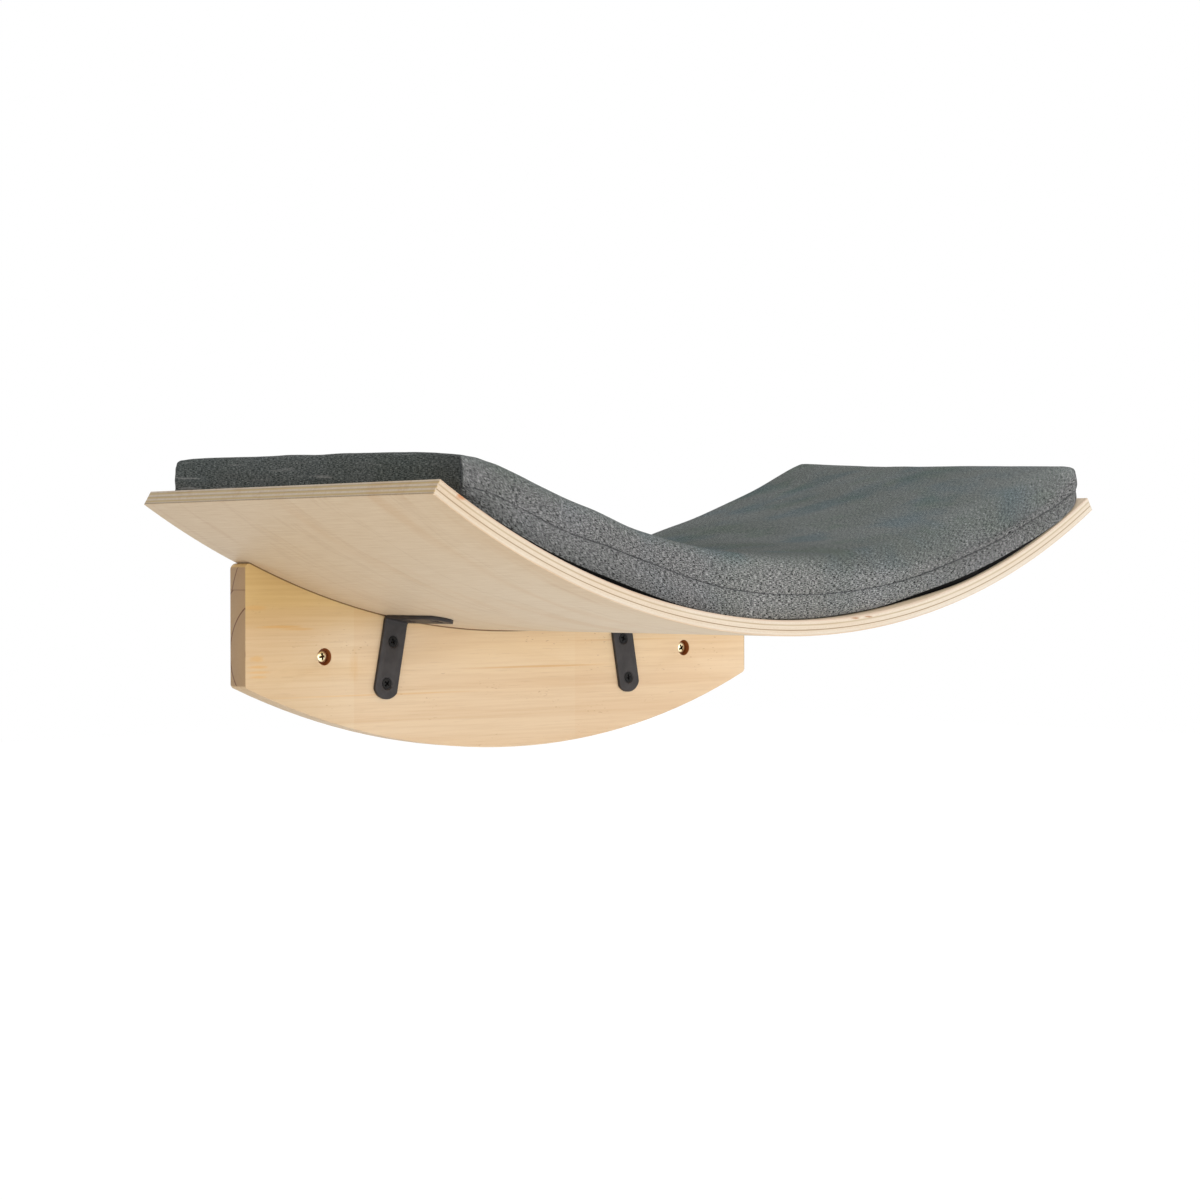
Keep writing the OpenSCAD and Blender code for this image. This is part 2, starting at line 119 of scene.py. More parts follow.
class Graph:
    """A shader or geometry node tree while it is wired up."""

    def __init__(self, tree: Tree) -> None:
        """Starts on a tree.

        Args:
            tree: The tree that nodes are added to.
        """
        self.tree = tree

    def add(self, kind: str, inputs: dict[Any, Any] | None = None, **settings: Any) -> Node:
        """Adds a node.

        Args:
            kind: Blender's name of the node type.
            inputs: Values or sockets by input name or number.
            **settings: Properties of the node.

        Returns:
            The new node.
        """
        node = self.tree.nodes.new(kind)
        for key, value in settings.items():
            setattr(node, key, value)
        for key, value in (inputs or {}).items():
            self.feed(node.inputs[key], value)
        return node

    def feed(self, socket: Socket, value: Any) -> None:
        """Links a socket to an input, or sets the input's own value."""
        if isinstance(value, Socket):
            self.tree.links.new(value, socket)
        elif value is not None:
            socket.default_value = value

    def maths(self, operation: str, *values: Any, clamp: bool = False) -> Socket:
        """Adds a Math node on up to three values and returns its result."""
        inputs = dict(enumerate(values))
        return self.add("ShaderNodeMath", inputs, operation=operation, use_clamp=clamp).outputs[0]

    def times(self, first: Any, second: Any) -> Socket:
        """Multiplies two values."""
        return self.maths("MULTIPLY", first, second)

    def plus(self, first: Any, second: Any) -> Socket:
        """Adds two values."""
        return self.maths("ADD", first, second)

    def minus(self, first: Any, second: Any) -> Socket:
        """Takes the second value from the first."""
        return self.maths("SUBTRACT", first, second)

    def over(self, first: Any, second: Any) -> Socket:
        """Divides the first value by the second."""
        return self.maths("DIVIDE", first, second)

    def apart(self, first: Any, second: Any) -> Socket:
        """How far two values lie from each other."""
        return self.maths("ABSOLUTE", self.minus(first, second))

    def between(self, share: Any, first: Any, second: Any) -> Socket:
        """Mixes two values."""
        return self.add("ShaderNodeMix", {0: share, 2: first, 3: second}, data_type="FLOAT").outputs[0]

    def vector(self, operation: str, *values: Any) -> Socket:
        """Adds a Vector Math node on up to two vectors and returns its vector."""
        return self.add("ShaderNodeVectorMath", dict(enumerate(values)), operation=operation).outputs[0]

    def length(self, vector: Any) -> Socket:
        """The length of a vector."""
        return self.add("ShaderNodeVectorMath", {0: vector}, operation="LENGTH").outputs["Value"]

    def combine(self, x: Any, y: Any, z: Any) -> Socket:
        """Makes a vector of three values."""
        return self.add("ShaderNodeCombineXYZ", {0: x, 1: y, 2: z}).outputs[0]

    def split(self, vector: Socket) -> tuple[Socket, ...]:
        """Takes a vector apart into X, Y and Z."""
        return tuple(self.add("ShaderNodeSeparateXYZ", {0: vector}).outputs)

    def here(self) -> Socket:
        """The shaded point's place in its object."""
        return self.add("ShaderNodeTexCoord").outputs["Object"]

    def mask(self, name: str) -> Socket:
        """Reads one of the mesh's own masks."""
        return self.add("ShaderNodeAttribute", attribute_name=name).outputs["Fac"]

    def remap(self, value: Any, low: float, high: float, to_low: float = 0.0, to_high: float = 1.0) -> Socket:
        """Maps a range of values smoothly onto another one and clamps it."""
        inputs = {"Value": value, "From Min": low, "From Max": high, "To Min": to_low, "To Max": to_high}
        return self.add("ShaderNodeMapRange", inputs, interpolation_type="SMOOTHSTEP").outputs[0]

    def noise(self, vector: Any, scale: float = 1.0, detail: float = 2.0, rough: float = 0.5) -> Socket:
        """Adds a noise texture and returns its value."""
        inputs = {"Vector": vector, "Scale": scale, "Detail": detail, "Roughness": rough}
        return self.add("ShaderNodeTexNoise", inputs).outputs[0]

    def streaks(self, place: Any, stretch: Any, detail: float = 2.0, rough: float = 0.5) -> Socket:
        """Noise over a place that is first multiplied along each axis."""
        return self.noise(self.vector("MULTIPLY", place, stretch), 1.0, detail, rough)

    def blend(self, share: Any, first: Any, second: Any, kind: str = "MIX") -> Socket:
        """Mixes two colours and returns the mix."""
        inputs = {0: share, 6: first, 7: second}
        return self.add("ShaderNodeMix", inputs, data_type="RGBA", blend_type=kind).outputs[2]

    def stain(self, share: Any, colour: Any, by: Any) -> Socket:
        """Multiplies a colour by another one, where the share says so."""
        return self.blend(share, colour, by, "MULTIPLY")

    def ramp(self, value: Any, stops: Sequence[tuple[float, Colour]]) -> Socket:
        """Adds a colour ramp with the given stops and returns its colour."""
        node = self.add("ShaderNodeValToRGB", {0: value})
        elements = node.color_ramp.elements
        while len(elements) < len(stops):
            elements.new(0.5)
        for element, (place, colour) in zip(elements, stops):
            element.position, element.color = place, colour
        return node.outputs[0]


def add_sockets(tree: Tree, way: str, kinds: dict[str, str]) -> None:
    """Gives a tree its inputs or outputs, by name and kind."""
    for label, kind in kinds.items():
        tree.interface.new_socket(name=label, in_out=way, socket_type="NodeSocket" + kind)


class Effects:
    """Shader node groups that more than one finish uses, each made once."""

    made: dict[str, Tree] = {}

    @classmethod
    def place(
        cls,
        graph: Graph,
        name: str,
        inputs: dict[str, tuple[str, Any]],
        outputs: dict[str, str],
        wire: Callable[[Graph, Any], Sequence[Socket]],
    ) -> Any:
        """Puts a group into a material, and makes the group first if it isn't there yet.

        Args:
            graph: The material's graph.
            name: The group's name.
            inputs: Kind of each input and its value in this material, by name.
            outputs: Kind of each output, by name.
            wire: Adds the group's nodes and returns its output sockets in order.

        Returns:
            The group's outputs in the material.
        """
        if name not in cls.made:
            tree = bpy.data.node_groups.new(name, "ShaderNodeTree")
            add_sockets(tree, "INPUT", {label: kind for label, (kind, _) in inputs.items()})
            add_sockets(tree, "OUTPUT", outputs)
            inside = Graph(tree)
            entry, leave = inside.add("NodeGroupInput"), inside.add("NodeGroupOutput")
            for index, socket in enumerate(wire(inside, entry.outputs)):
                inside.feed(leave.inputs[index], socket)
            cls.made[name] = tree
        values = {label: value for label, (_, value) in inputs.items()}
        return graph.add("ShaderNodeGroup", values, node_tree=cls.made[name]).outputs

    @classmethod
    def bend_coordinates(cls, graph: Graph, bend: Bend) -> Socket:
        """Unrolls Object coordinates from the curve: along it, Y, and depth below the seat."""

        def wire(g: Graph, take: Any) -> Sequence[Socket]:
            """Polar coordinates about the axis of the bend."""
            x, y, z = g.split(take["Vector"])
            down = g.minus(take["Axis Height"], z)
            reach = g.maths("SQRT", g.plus(g.times(x, x), g.times(down, down)))
            along = g.times(g.maths("ARCTAN2", x, down), take["Seat Radius"])
            return [g.combine(along, y, g.minus(reach, take["Seat Radius"]))]

        inputs = {
            "Vector": ("Vector", graph.here()),
            "Axis Height": ("Float", bend.axis_height),
            "Seat Radius": ("Float", bend.seat_radius),
        }
        return cls.place(graph, "bend coordinates", inputs, {"Rolled Out": "Vector"}, wire)["Rolled Out"]

    @classmethod
    def wood_fibre(cls, graph: Graph, vector: Any, length: float, width: float) -> Any:
        """Streaks of fibre along X, and short dark pores. Outputs Fibre and Pore."""

        def wire(g: Graph, take: Any) -> Sequence[Socket]:
            """Two noises stretched along the fibre."""
            long, thin = g.over(1.0, take["Length"]), g.over(1.0, take["Width"])
            stretched = g.vector("MULTIPLY", take["Vector"], g.combine(long, thin, thin))
            fine = g.streaks(stretched, (4.0, 2.6, 2.6), 1.0)
            return [g.noise(stretched, 1.0, 4.0, 0.6), g.remap(fine, 0.64, 0.74)]

        inputs = {"Vector": ("Vector", vector), "Length": ("Float", length), "Width": ("Float", width)}
        return cls.place(graph, "wood fibre", inputs, {"Fibre": "Float", "Pore": "Float"}, wire)

    @classmethod
    def spot(cls, graph: Graph, vector: Any, centre: Sequence[float], size: Sequence[float]) -> Socket:
        """A ragged mark, such as a knot or a resin streak. Outputs its mask."""

        def wire(g: Graph, take: Any) -> Sequence[Socket]:
            """Distance from the centre in units of the size, roughened."""
            off = g.vector("DIVIDE", g.vector("SUBTRACT", take["Vector"], take["Centre"]), take["Size"])
            rough = g.streaks(off, (2.0, 2.0, 2.0), 3.0, 0.6)
            return [g.remap(g.plus(g.length(off), g.times(rough, 0.9)), 1.5, 0.75)]

        inputs = {"Vector": ("Vector", vector), "Centre": ("Vector", centre), "Size": ("Vector", size)}
        return cls.place(graph, "spot mark", inputs, {"Mask": "Float"}, wire)["Mask"]

    @classmethod
    def thread_weave(cls, graph: Graph, vector: Any, pitch: float, slub: float) -> Any:
        """A plain weave of uneven threads. Outputs Melange, a thread's own shade, and Relief."""

        def wire(g: Graph, take: Any) -> Sequence[Socket]:
            """Crossing waves choose which of two sets of threads lies on top."""
            step = g.vector("DIVIDE", take["Vector"], g.combine(take["Pitch"], take["Pitch"], 1.0))
            u, v, _ = g.split(step)
            across, along = (g.maths("SINE", g.times(way, math.tau / 2)) for way in (u, v))
            top = g.maths("MULTIPLY_ADD", g.times(across, along), 0.5, 0.5)
            long_run = g.over(1.0, take["Slub"])
            weft = g.streaks(step, g.combine(long_run, 1.2, 0.0), 2.0, 0.6)
            warp = g.streaks(step, g.combine(1.2, long_run, 0.0), 2.0, 0.6)
            return [g.between(g.remap(top, 0.35, 0.65, 0.3, 1.0), warp, weft), top]

        inputs = {"Vector": ("Vector", vector), "Pitch": ("Float", pitch), "Slub": ("Float", slub)}
        return cls.place(graph, "thread weave", inputs, {"Melange": "Float", "Relief": "Float"}, wire)

    @classmethod
    def fine_speckle(cls, graph: Graph, vector: Any, grain: float) -> Any:
        """Fine unevenness of a coated surface. Outputs Speckle, and slower Clouds."""

        def wire(g: Graph, take: Any) -> Sequence[Socket]:
            """One fine and one coarse noise."""
            grain = take["Grain"]
            scaled = g.vector("DIVIDE", take["Vector"], g.combine(grain, grain, grain))
            return [g.noise(scaled, 1.0, 2.0, 0.6), g.noise(scaled, 0.04, 3.0)]

        inputs = {"Vector": ("Vector", vector), "Grain": ("Float", grain)}
        return cls.place(graph, "fine speckle", inputs, {"Speckle": "Float", "Clouds": "Float"}, wire)


# finishes


@dataclass(frozen=True)
class Finish:
    """A material: its record slot, and how even and glossy it is."""

    slot: str
    roughness: float = 0.5
    specular: float = 0.5

    def build(self) -> Material:
        """Makes the material and wires its shader.

        Returns:
            The finished material.
        """
        material = bpy.data.materials.new(self.slot + "_finish")
        material.use_nodes = True
        graph = Graph(material.node_tree)
        shader = material.node_tree.nodes["Principled BSDF"]
        shader.inputs["Roughness"].default_value = self.roughness
        shader.inputs["Specular IOR Level"].default_value = self.specular
        self.dress(graph, shader)
        return material

    def dress(self, graph: Graph, shader: Node) -> None:
        """Wires colour, roughness and relief. Each finish has its own."""
        raise NotImplementedError

    @staticmethod
    def relief(graph: Graph, shader: Node, height: Any, strength: float, distance: float) -> None:
        """Feeds a height into the shader's normal through a Bump node."""
        inputs = {"Height": height, "Strength": strength, "Distance": distance}
        graph.feed(shader.inputs["Normal"], graph.add("ShaderNodeBump", inputs).outputs[0])


@dataclass(frozen=True)
class PlywoodFinish(Finish):
    """Bare birch plywood: a smooth veneer on both faces and seven plies on every edge."""

    bend: Bend = Bend()
    veneer: Colour = tone(222, 203, 176)
    pale_ply: Colour = tone(203, 191, 174)
    tan_ply: Colour = tone(178, 163, 139)
    pink_ply: Colour = tone(194, 175, 157)
    white_ply: Colour = tone(206, 197, 183)
    olive_ply: Colour = tone(190, 170, 130)
    glue: Colour = tone(146, 128, 102)
    # painted shade towards the left end
    painted_left_shade: Colour = tone(248, 240, 228)
    fibre_stain: Colour = tone(200, 172, 138)
    streak_stain: Colour = tone(240, 220, 196)
    ring_stain: Colour = tone(200, 166, 130)
    pore_stain: Colour = tone(160, 124, 88)
    knot_colour: Colour = tone(176, 112, 62)
    dash_colour: Colour = tone(150, 104, 66)
    knot_place: Point = (-0.2325, -0.25, 0.0832)
    knot_size: Point = (0.004, 0.004, 0.0022)
    dash_places: tuple[Point, ...] = ((0.043, -0.25, 0.0222), (0.0535, -0.25, 0.0229))
    dash_size: Point = (0.0042, 0.004, 0.0007)

    def plies(self, graph: Graph, swayed: Any, at_end: Any) -> Socket:
        """Colours by depth, from one face to the other, on the long and the short edges.

        Args:
            graph: The material's graph.
            swayed: Depth below the seat as a share of the thickness, slightly wavy.
            at_end: 1 on the short edges.

        Returns:
            The colour of the plies.
        """
        v, p, t, w, k = self.veneer, self.pale_ply, self.tan_ply, self.white_ply, self.pink_ply
        o, g = self.olive_ply, self.glue
        long_edge = [
            (0.0, v), (0.02, k), (0.085, k), (0.12, p), (0.25, p), (0.28, t), (0.34, t), (0.37, p),
            (0.585, p), (0.605, g), (0.64, g), (0.67, p), (0.78, p), (0.80, w), (0.915, w), (0.945, k),
            (0.98, v),
        ]
        short_edge = [
            (0.0, v), (0.03, p), (0.13, p), (0.15, g), (0.17, o), (0.27, o), (0.29, p), (0.42, p),
            (0.44, g), (0.46, o), (0.56, o), (0.59, p), (0.71, p), (0.73, o), (0.84, o), (0.865, p),
            (0.95, g), (0.98, v),
        ]
        return graph.blend(at_end, graph.ramp(swayed, long_edge), graph.ramp(swayed, short_edge))

    def dress(self, graph: Graph, shader: Node) -> None:
        """Layers by depth below the seat, each with fibre along or across the bend."""
        rolled = Effects.bend_coordinates(graph, self.bend)
        along, out, depth = graph.split(rolled)
        wander = graph.streaks(rolled, (14.0, 14.0, 0.0))
        place = graph.over(depth, self.bend.under_radius - self.bend.seat_radius)
        swayed = graph.plus(place, graph.times(graph.minus(wander, 0.5), 0.035))
        half = self.bend.half_turn * self.bend.seat_radius
        at_end = graph.remap(graph.maths("ABSOLUTE", along), half - 0.0007, half - 0.0002)
        colour = self.plies(graph, swayed, at_end)
        # painted shade: the plywood darkens towards its left end
        colour = graph.stain(graph.remap(along, -0.12, -0.24, 0.0, 0.7), colour, self.painted_left_shade)
        long_fibre = Effects.wood_fibre(graph, rolled, 0.045, 0.0011)
        cross_fibre = Effects.wood_fibre(graph, graph.combine(out, along, depth), 0.02, 0.0006)
        broad = graph.streaks(rolled, (5.0, 42.0, 30.0), 3.0, 0.55)
        turns = graph.maths("FRACT", graph.maths("MULTIPLY_ADD", place, 3.5, 0.28))
        crossed = graph.remap(graph.apart(turns, 0.5), 0.2, 0.3)
        fibre = graph.between(crossed, long_fibre["Fibre"], cross_fibre["Fibre"])
        colour = graph.stain(graph.remap(fibre, 0.35, 0.68, 0.0, 0.20), colour, self.fibre_stain)
        colour = graph.stain(graph.remap(broad, 0.50, 0.66, 0.0, 0.34), colour, self.streak_stain)
        rings = graph.maths("FRACT", graph.times(graph.plus(graph.times(out, 7.0), broad), 3.0))
        line = graph.times(graph.remap(rings, 0.80, 0.97), graph.remap(rings, 1.0, 0.97))
        colour = graph.stain(graph.times(line, 0.11), colour, self.ring_stain)
        colour = graph.stain(graph.times(long_fibre["Pore"], 0.08), colour, self.pore_stain)
        here = graph.here()
        knot = Effects.spot(graph, here, self.knot_place, self.knot_size)
        colour = graph.blend(graph.times(knot, 0.8), colour, self.knot_colour)
        for centre in self.dash_places:
            dash = Effects.spot(graph, here, centre, self.dash_size)
            colour = graph.blend(graph.times(dash, 0.8), colour, self.dash_colour)
        graph.feed(shader.inputs["Base Color"], colour)
        rough = graph.remap(fibre, 0.3, 0.7, self.roughness - 0.06, self.roughness + 0.08)
        graph.feed(shader.inputs["Roughness"], rough)
        self.relief(graph, shader, graph.plus(fibre, graph.times(crossed, 0.3)), 0.12, 0.0003)


@dataclass(frozen=True)
class Ring:
    """The yearly rings of one strip of pine: the pith's Y and Z, and the gap between rings."""

    pith: Pair
    gap: float


@dataclass(frozen=True)
class PineFinish(Finish):
    """Planed pine, edge-glued from strips, with its rings running through the solid."""

    bend: Bend = Bend()
    early: Colour = tone(234, 212, 180)
    warm: Colour = tone(226, 192, 142)
    late: Colour = tone(198, 158, 112)
    # painted light and shade on the board's front: darker low down, warmer in the band under the shelf,
    # darker to the left, lighter in the middle
    painted_lower_shade: Colour = tone(243, 241, 240)
    painted_upper_shade: Colour = tone(255, 252, 221)
    painted_left_shade: Colour = tone(238, 231, 219)
    painted_middle_light: Colour = tone(255, 238, 204)
    fibre_stain: Colour = tone(208, 178, 140)
    strip_stain: Colour = tone(240, 214, 184)
    speck: Colour = tone(150, 100, 60)
    pore_stain: Colour = tone(140, 96, 58)
    cut_end: Colour = tone(174, 143, 106)
    end_dot: Colour = tone(150, 122, 92)
    end_late: Colour = tone(150, 116, 84)
    end_ring: Colour = tone(104, 66, 40)
    resin: Colour = tone(216, 168, 100)
    # painted shade along the line where the plywood rests on the board
    painted_contact_shade: Colour = tone(106, 70, 42)
    # drilled end grain in the bores, darkened further as painted shade
    bore_grain_and_shade: Colour = tone(150, 84, 38)
    bore_places: Pair = (-0.14, 0.14)
    bore_size: Point = (0.0062, 0.5, 0.0062)
    strip_joints: tuple[Pair, ...] = ((-0.1194, 0.14), (0.0482, 0.10))
    # place along the board, height, half length, half height and strength of each mark on the front
    resin_marks: tuple[tuple[float, float, float, float, float], ...] = (
        (-0.1862, -0.0003, 0.0060, 0.0022, 0.55), (-0.1850, -0.0048, 0.0085, 0.0011, 0.6),
        (-0.1845, -0.0078, 0.0100, 0.0010, 0.5), (-0.1850, -0.0104, 0.0075, 0.0010, 0.5),
        (-0.1870, 0.0279, 0.0100, 0.0019, 0.5), (-0.1700, 0.0172, 0.0190, 0.0011, 0.7),
        (-0.1580, 0.0158, 0.0140, 0.0010, 0.5), (-0.1194, -0.006, 0.0040, 0.0120, 0.22),
        (0.0210, -0.0090, 0.0700, 0.0009, 0.5), (-0.0950, -0.0225, 0.0900, 0.0008, 0.4),
        (0.0900, 0.0060, 0.0600, 0.0008, 0.35),
    )
    mark_depth: float = 0.01
    front: float = -0.014
    glue_height: float = 0.0378
    half_length: float = 0.194
    lower_rings: Ring = Ring((-0.029, 0.0025), 0.0147)
    upper_rings: Ring = Ring((-0.060, 0.020), 0.0122)

    def past_ring(self, graph: Graph, place: Any, ring: Ring) -> Socket:
        """How far a place lies outside the last ring, as a share of the gap.

        The rings wander along the board, but not at its left end.

        Args:
            graph: The material's graph.
            place: Object coordinates.
            ring: The strip's rings.

        Returns:
            A value that climbs from 0 to 1 between two rings.
        """
        x, y, z = graph.split(place)
        lazy = graph.streaks(place, (4.0, 16.0, 16.0))
        free = graph.remap(x, -self.half_length + 0.004, -0.10, 0.0, 0.010)
        dy, dz = graph.minus(y, ring.pith[0]), graph.minus(z, ring.pith[1])
        far = graph.maths("SQRT", graph.plus(graph.times(dy, dy), graph.times(dz, dz)))
        wander = graph.times(graph.minus(lazy, 0.5), free)
        return graph.maths("FRACT", graph.over(graph.plus(far, wander), ring.gap))

    def faces(self, graph: Graph, place: Any, soft: Any, grain: Any) -> Socket:
        """Colours of the board's faces, with painted light and shade by height and length, and with fibre,
        strips and specks.

        Args:
            graph: The material's graph.
            place: Object coordinates.
            soft: Strength of the late wood.
            grain: The outputs of the wood fibre.

        Returns:
            The colour.
        """
        x, _, z = graph.split(place)
        broad = graph.streaks(place, (3.0, 60.0, 26.0), 3.0)
        # painted shade: the board's colour grows warmer towards its top, under the shelf
        height = graph.remap(z, -0.045, 0.045, -0.18, 0.22)
        warmth = graph.maths("ADD", graph.remap(broad, 0.36, 0.70, 0.0, 0.55), height, clamp=True)
        colour = graph.blend(warmth, self.early, self.warm)
        # painted shade: darker low down, warmer in the upper band, darker to the left
        for way, start, end, shade in (
            (z, 0.0, -0.045, self.painted_lower_shade),
            (z, 0.010, 0.036, self.painted_upper_shade),
            (x, -0.10, -0.18, self.painted_left_shade),
        ):
            colour = graph.stain(graph.remap(way, start, end), colour, shade)
        # painted light: lighter in the middle of the board's upper part, under the seat
        amid = graph.remap(graph.apart(x, 0.04), 0.12, 0.05, 0.0, 0.4)
        colour = graph.blend(graph.times(amid, graph.remap(z, -0.022, 0.004)), colour, self.painted_middle_light)
        colour = graph.stain(graph.remap(grain["Fibre"], 0.36, 0.7, 0.0, 0.16), colour, self.fibre_stain)
        colour = graph.blend(graph.times(soft, 0.16), colour, self.late)
        for strip, strength in self.strip_joints:
            side = graph.remap(x, strip - 0.0003, strip + 0.0003, 0.0, strength)
            colour = graph.stain(side, colour, self.strip_stain)
        dashes = graph.remap(graph.streaks(place, (380.0, 900.0, 1500.0), 0.0), 0.76, 0.82)
        patches = graph.remap(graph.streaks(place, (40.0, 60.0, 60.0), 1.0), 0.52, 0.64, 0.0, 0.35)
        colour = graph.blend(graph.times(dashes, patches), colour, self.speck)
        colour = graph.stain(graph.times(grain["Pore"], 0.08), colour, self.pore_stain)
        for along, height, long, high, strength in self.resin_marks:
            centre, size = (along, self.front, height), (long, self.mark_depth, high)
            mask = graph.times(Effects.spot(graph, place, centre, size), strength)
            colour = graph.blend(mask, colour, self.resin)
        return colour

    def cut_ends(self, graph: Graph, place: Any, soft: Any, thin: Any) -> Socket:
        """Colours of the sawn ends, with the rings cut across.

        Args:
            graph: The material's graph.
            place: Object coordinates.
            soft: Strength of the late wood.
            thin: 1 on the dark line of each ring.

        Returns:
            The colour.
        """
        dots = graph.streaks(place, (0.0, 2600.0, 2600.0), 1.0)
        colour = graph.blend(graph.remap(dots, 0.3, 0.7, 0.0, 0.30), self.cut_end, self.end_dot)
        colour = graph.blend(graph.times(soft, 0.22), colour, self.end_late)
        colour = graph.blend(graph.times(thin, 0.9), colour, self.end_ring)
        off_glue = graph.apart(graph.split(place)[2], self.glue_height)
        return graph.blend(graph.remap(off_glue, 0.0005, 0.0001, 0.0, 0.5), colour, self.end_ring)

    def dress(self, graph: Graph, shader: Node) -> None:
        """Rings, fibre, pores, glue joints and resin marks, and painted shade along the plywood's contact
        line and inside the bores, all from Object coordinates.
        """
        place = graph.here()
        x, y, z = graph.split(place)
        lower = self.past_ring(graph, place, self.lower_rings)
        upper = self.past_ring(graph, place, self.upper_rings)
        above = graph.remap(z, self.glue_height - 0.0002, self.glue_height + 0.0002)
        share = graph.between(above, lower, upper)
        soft = graph.times(graph.remap(share, 0.35, 0.96), graph.remap(share, 1.0, 0.97))
        thin = graph.maths("MAXIMUM", graph.remap(share, 0.952, 0.975), graph.remap(share, 0.035, 0.012))
        grain = Effects.wood_fibre(graph, place, 0.07, 0.0016)
        at_end = graph.remap(graph.maths("ABSOLUTE", x), self.half_length - 0.0006, self.half_length - 0.0001)
        ends = self.cut_ends(graph, place, soft, thin)
        colour = graph.blend(at_end, self.faces(graph, place, soft, grain), ends)
        # painted shade: a dark line where the plywood rests on the board's top
        depth = graph.split(Effects.bend_coordinates(graph, self.bend))[2]
        thick = self.bend.under_radius - self.bend.seat_radius
        contact_shade_share = graph.remap(depth, thick + 0.0009, thick + 0.0005, 0.0, 0.85)
        colour = graph.blend(contact_shade_share, colour, self.painted_contact_shade)
        # the bores' walls: darker drilled end grain, with painted shade inside them
        behind_front = graph.remap(y, self.front + 0.0002, self.front + 0.0006)
        sunk = graph.times(behind_front, graph.remap(y, -0.0006, -0.0012))
        for across in self.bore_places:
            near = Effects.spot(graph, place, (across, self.front, 0.0), self.bore_size)
            inside = graph.times(graph.maths("GREATER_THAN", near, 0.0), sunk)
            colour = graph.blend(inside, colour, self.bore_grain_and_shade)
        graph.feed(shader.inputs["Base Color"], colour)
        rough = graph.remap(grain["Fibre"], 0.3, 0.7, self.roughness - 0.05, self.roughness + 0.1)
        graph.feed(shader.inputs["Roughness"], rough)
        height = graph.plus(grain["Fibre"], graph.times(soft, -0.2))
        self.relief(graph, shader, height, 0.08, 0.0003)


@dataclass(frozen=True)
class CoatedSteelFinish(Finish):
    """Steel with a coat or plating: one colour, finely uneven."""

    colour: Colour = tone(44, 40, 40)
    cloud: Colour = tone(54, 50, 50)
    metallic: float = 0.0
    grain: float = 0.0003
    bump: float = 0.12

    def dress(self, graph: Graph, shader: Node) -> None:
        """A cloudy colour and a fine orange peel."""
        speckle = Effects.fine_speckle(graph, graph.here(), self.grain)
        mixed = graph.blend(graph.remap(speckle["Clouds"], 0.35, 0.65), self.colour, self.cloud)
        graph.feed(shader.inputs["Base Color"], mixed)
        shader.inputs["Metallic"].default_value = self.metallic
        rough = graph.remap(speckle["Speckle"], 0.3, 0.7, self.roughness - 0.06, self.roughness + 0.08)
        graph.feed(shader.inputs["Roughness"], rough)
        self.relief(graph, shader, speckle["Speckle"], self.bump, 0.0001)


@dataclass(frozen=True)
class RecessedScrewFinish(CoatedSteelFinish):
    """Yellow zinc on the wall screws, with painted shade inside their cross recesses."""

    places: Pair = (-0.14, 0.14)
    reach: float = 0.0027
    rim: float = -0.01165
    deep: float = -0.01140
    bottom: float = -0.0100
    fade: float = 0.0002
    shade: Colour = tone(70, 44, 22)

    def dress(self, graph: Graph, shader: Node) -> None:
        """The coat, then painted shade in the recesses, by their place in the object."""
        super().dress(graph, shader)
        colour = shader.inputs["Base Color"].links[0].from_socket
        x, y, z = graph.split(graph.here())
        # painted shade near each screw's axis, from the head's rim down into the recess
        below_rim = graph.remap(y, self.rim, self.deep)
        sunk = graph.times(below_rim, graph.remap(y, self.bottom, self.bottom - self.fade))
        for across in self.places:
            far = graph.length(graph.combine(graph.minus(x, across), 0.0, z))
            near = graph.remap(far, self.reach, self.reach - self.fade)
            colour = graph.blend(graph.times(near, sunk), colour, self.shade)
        graph.feed(shader.inputs["Base Color"], colour)


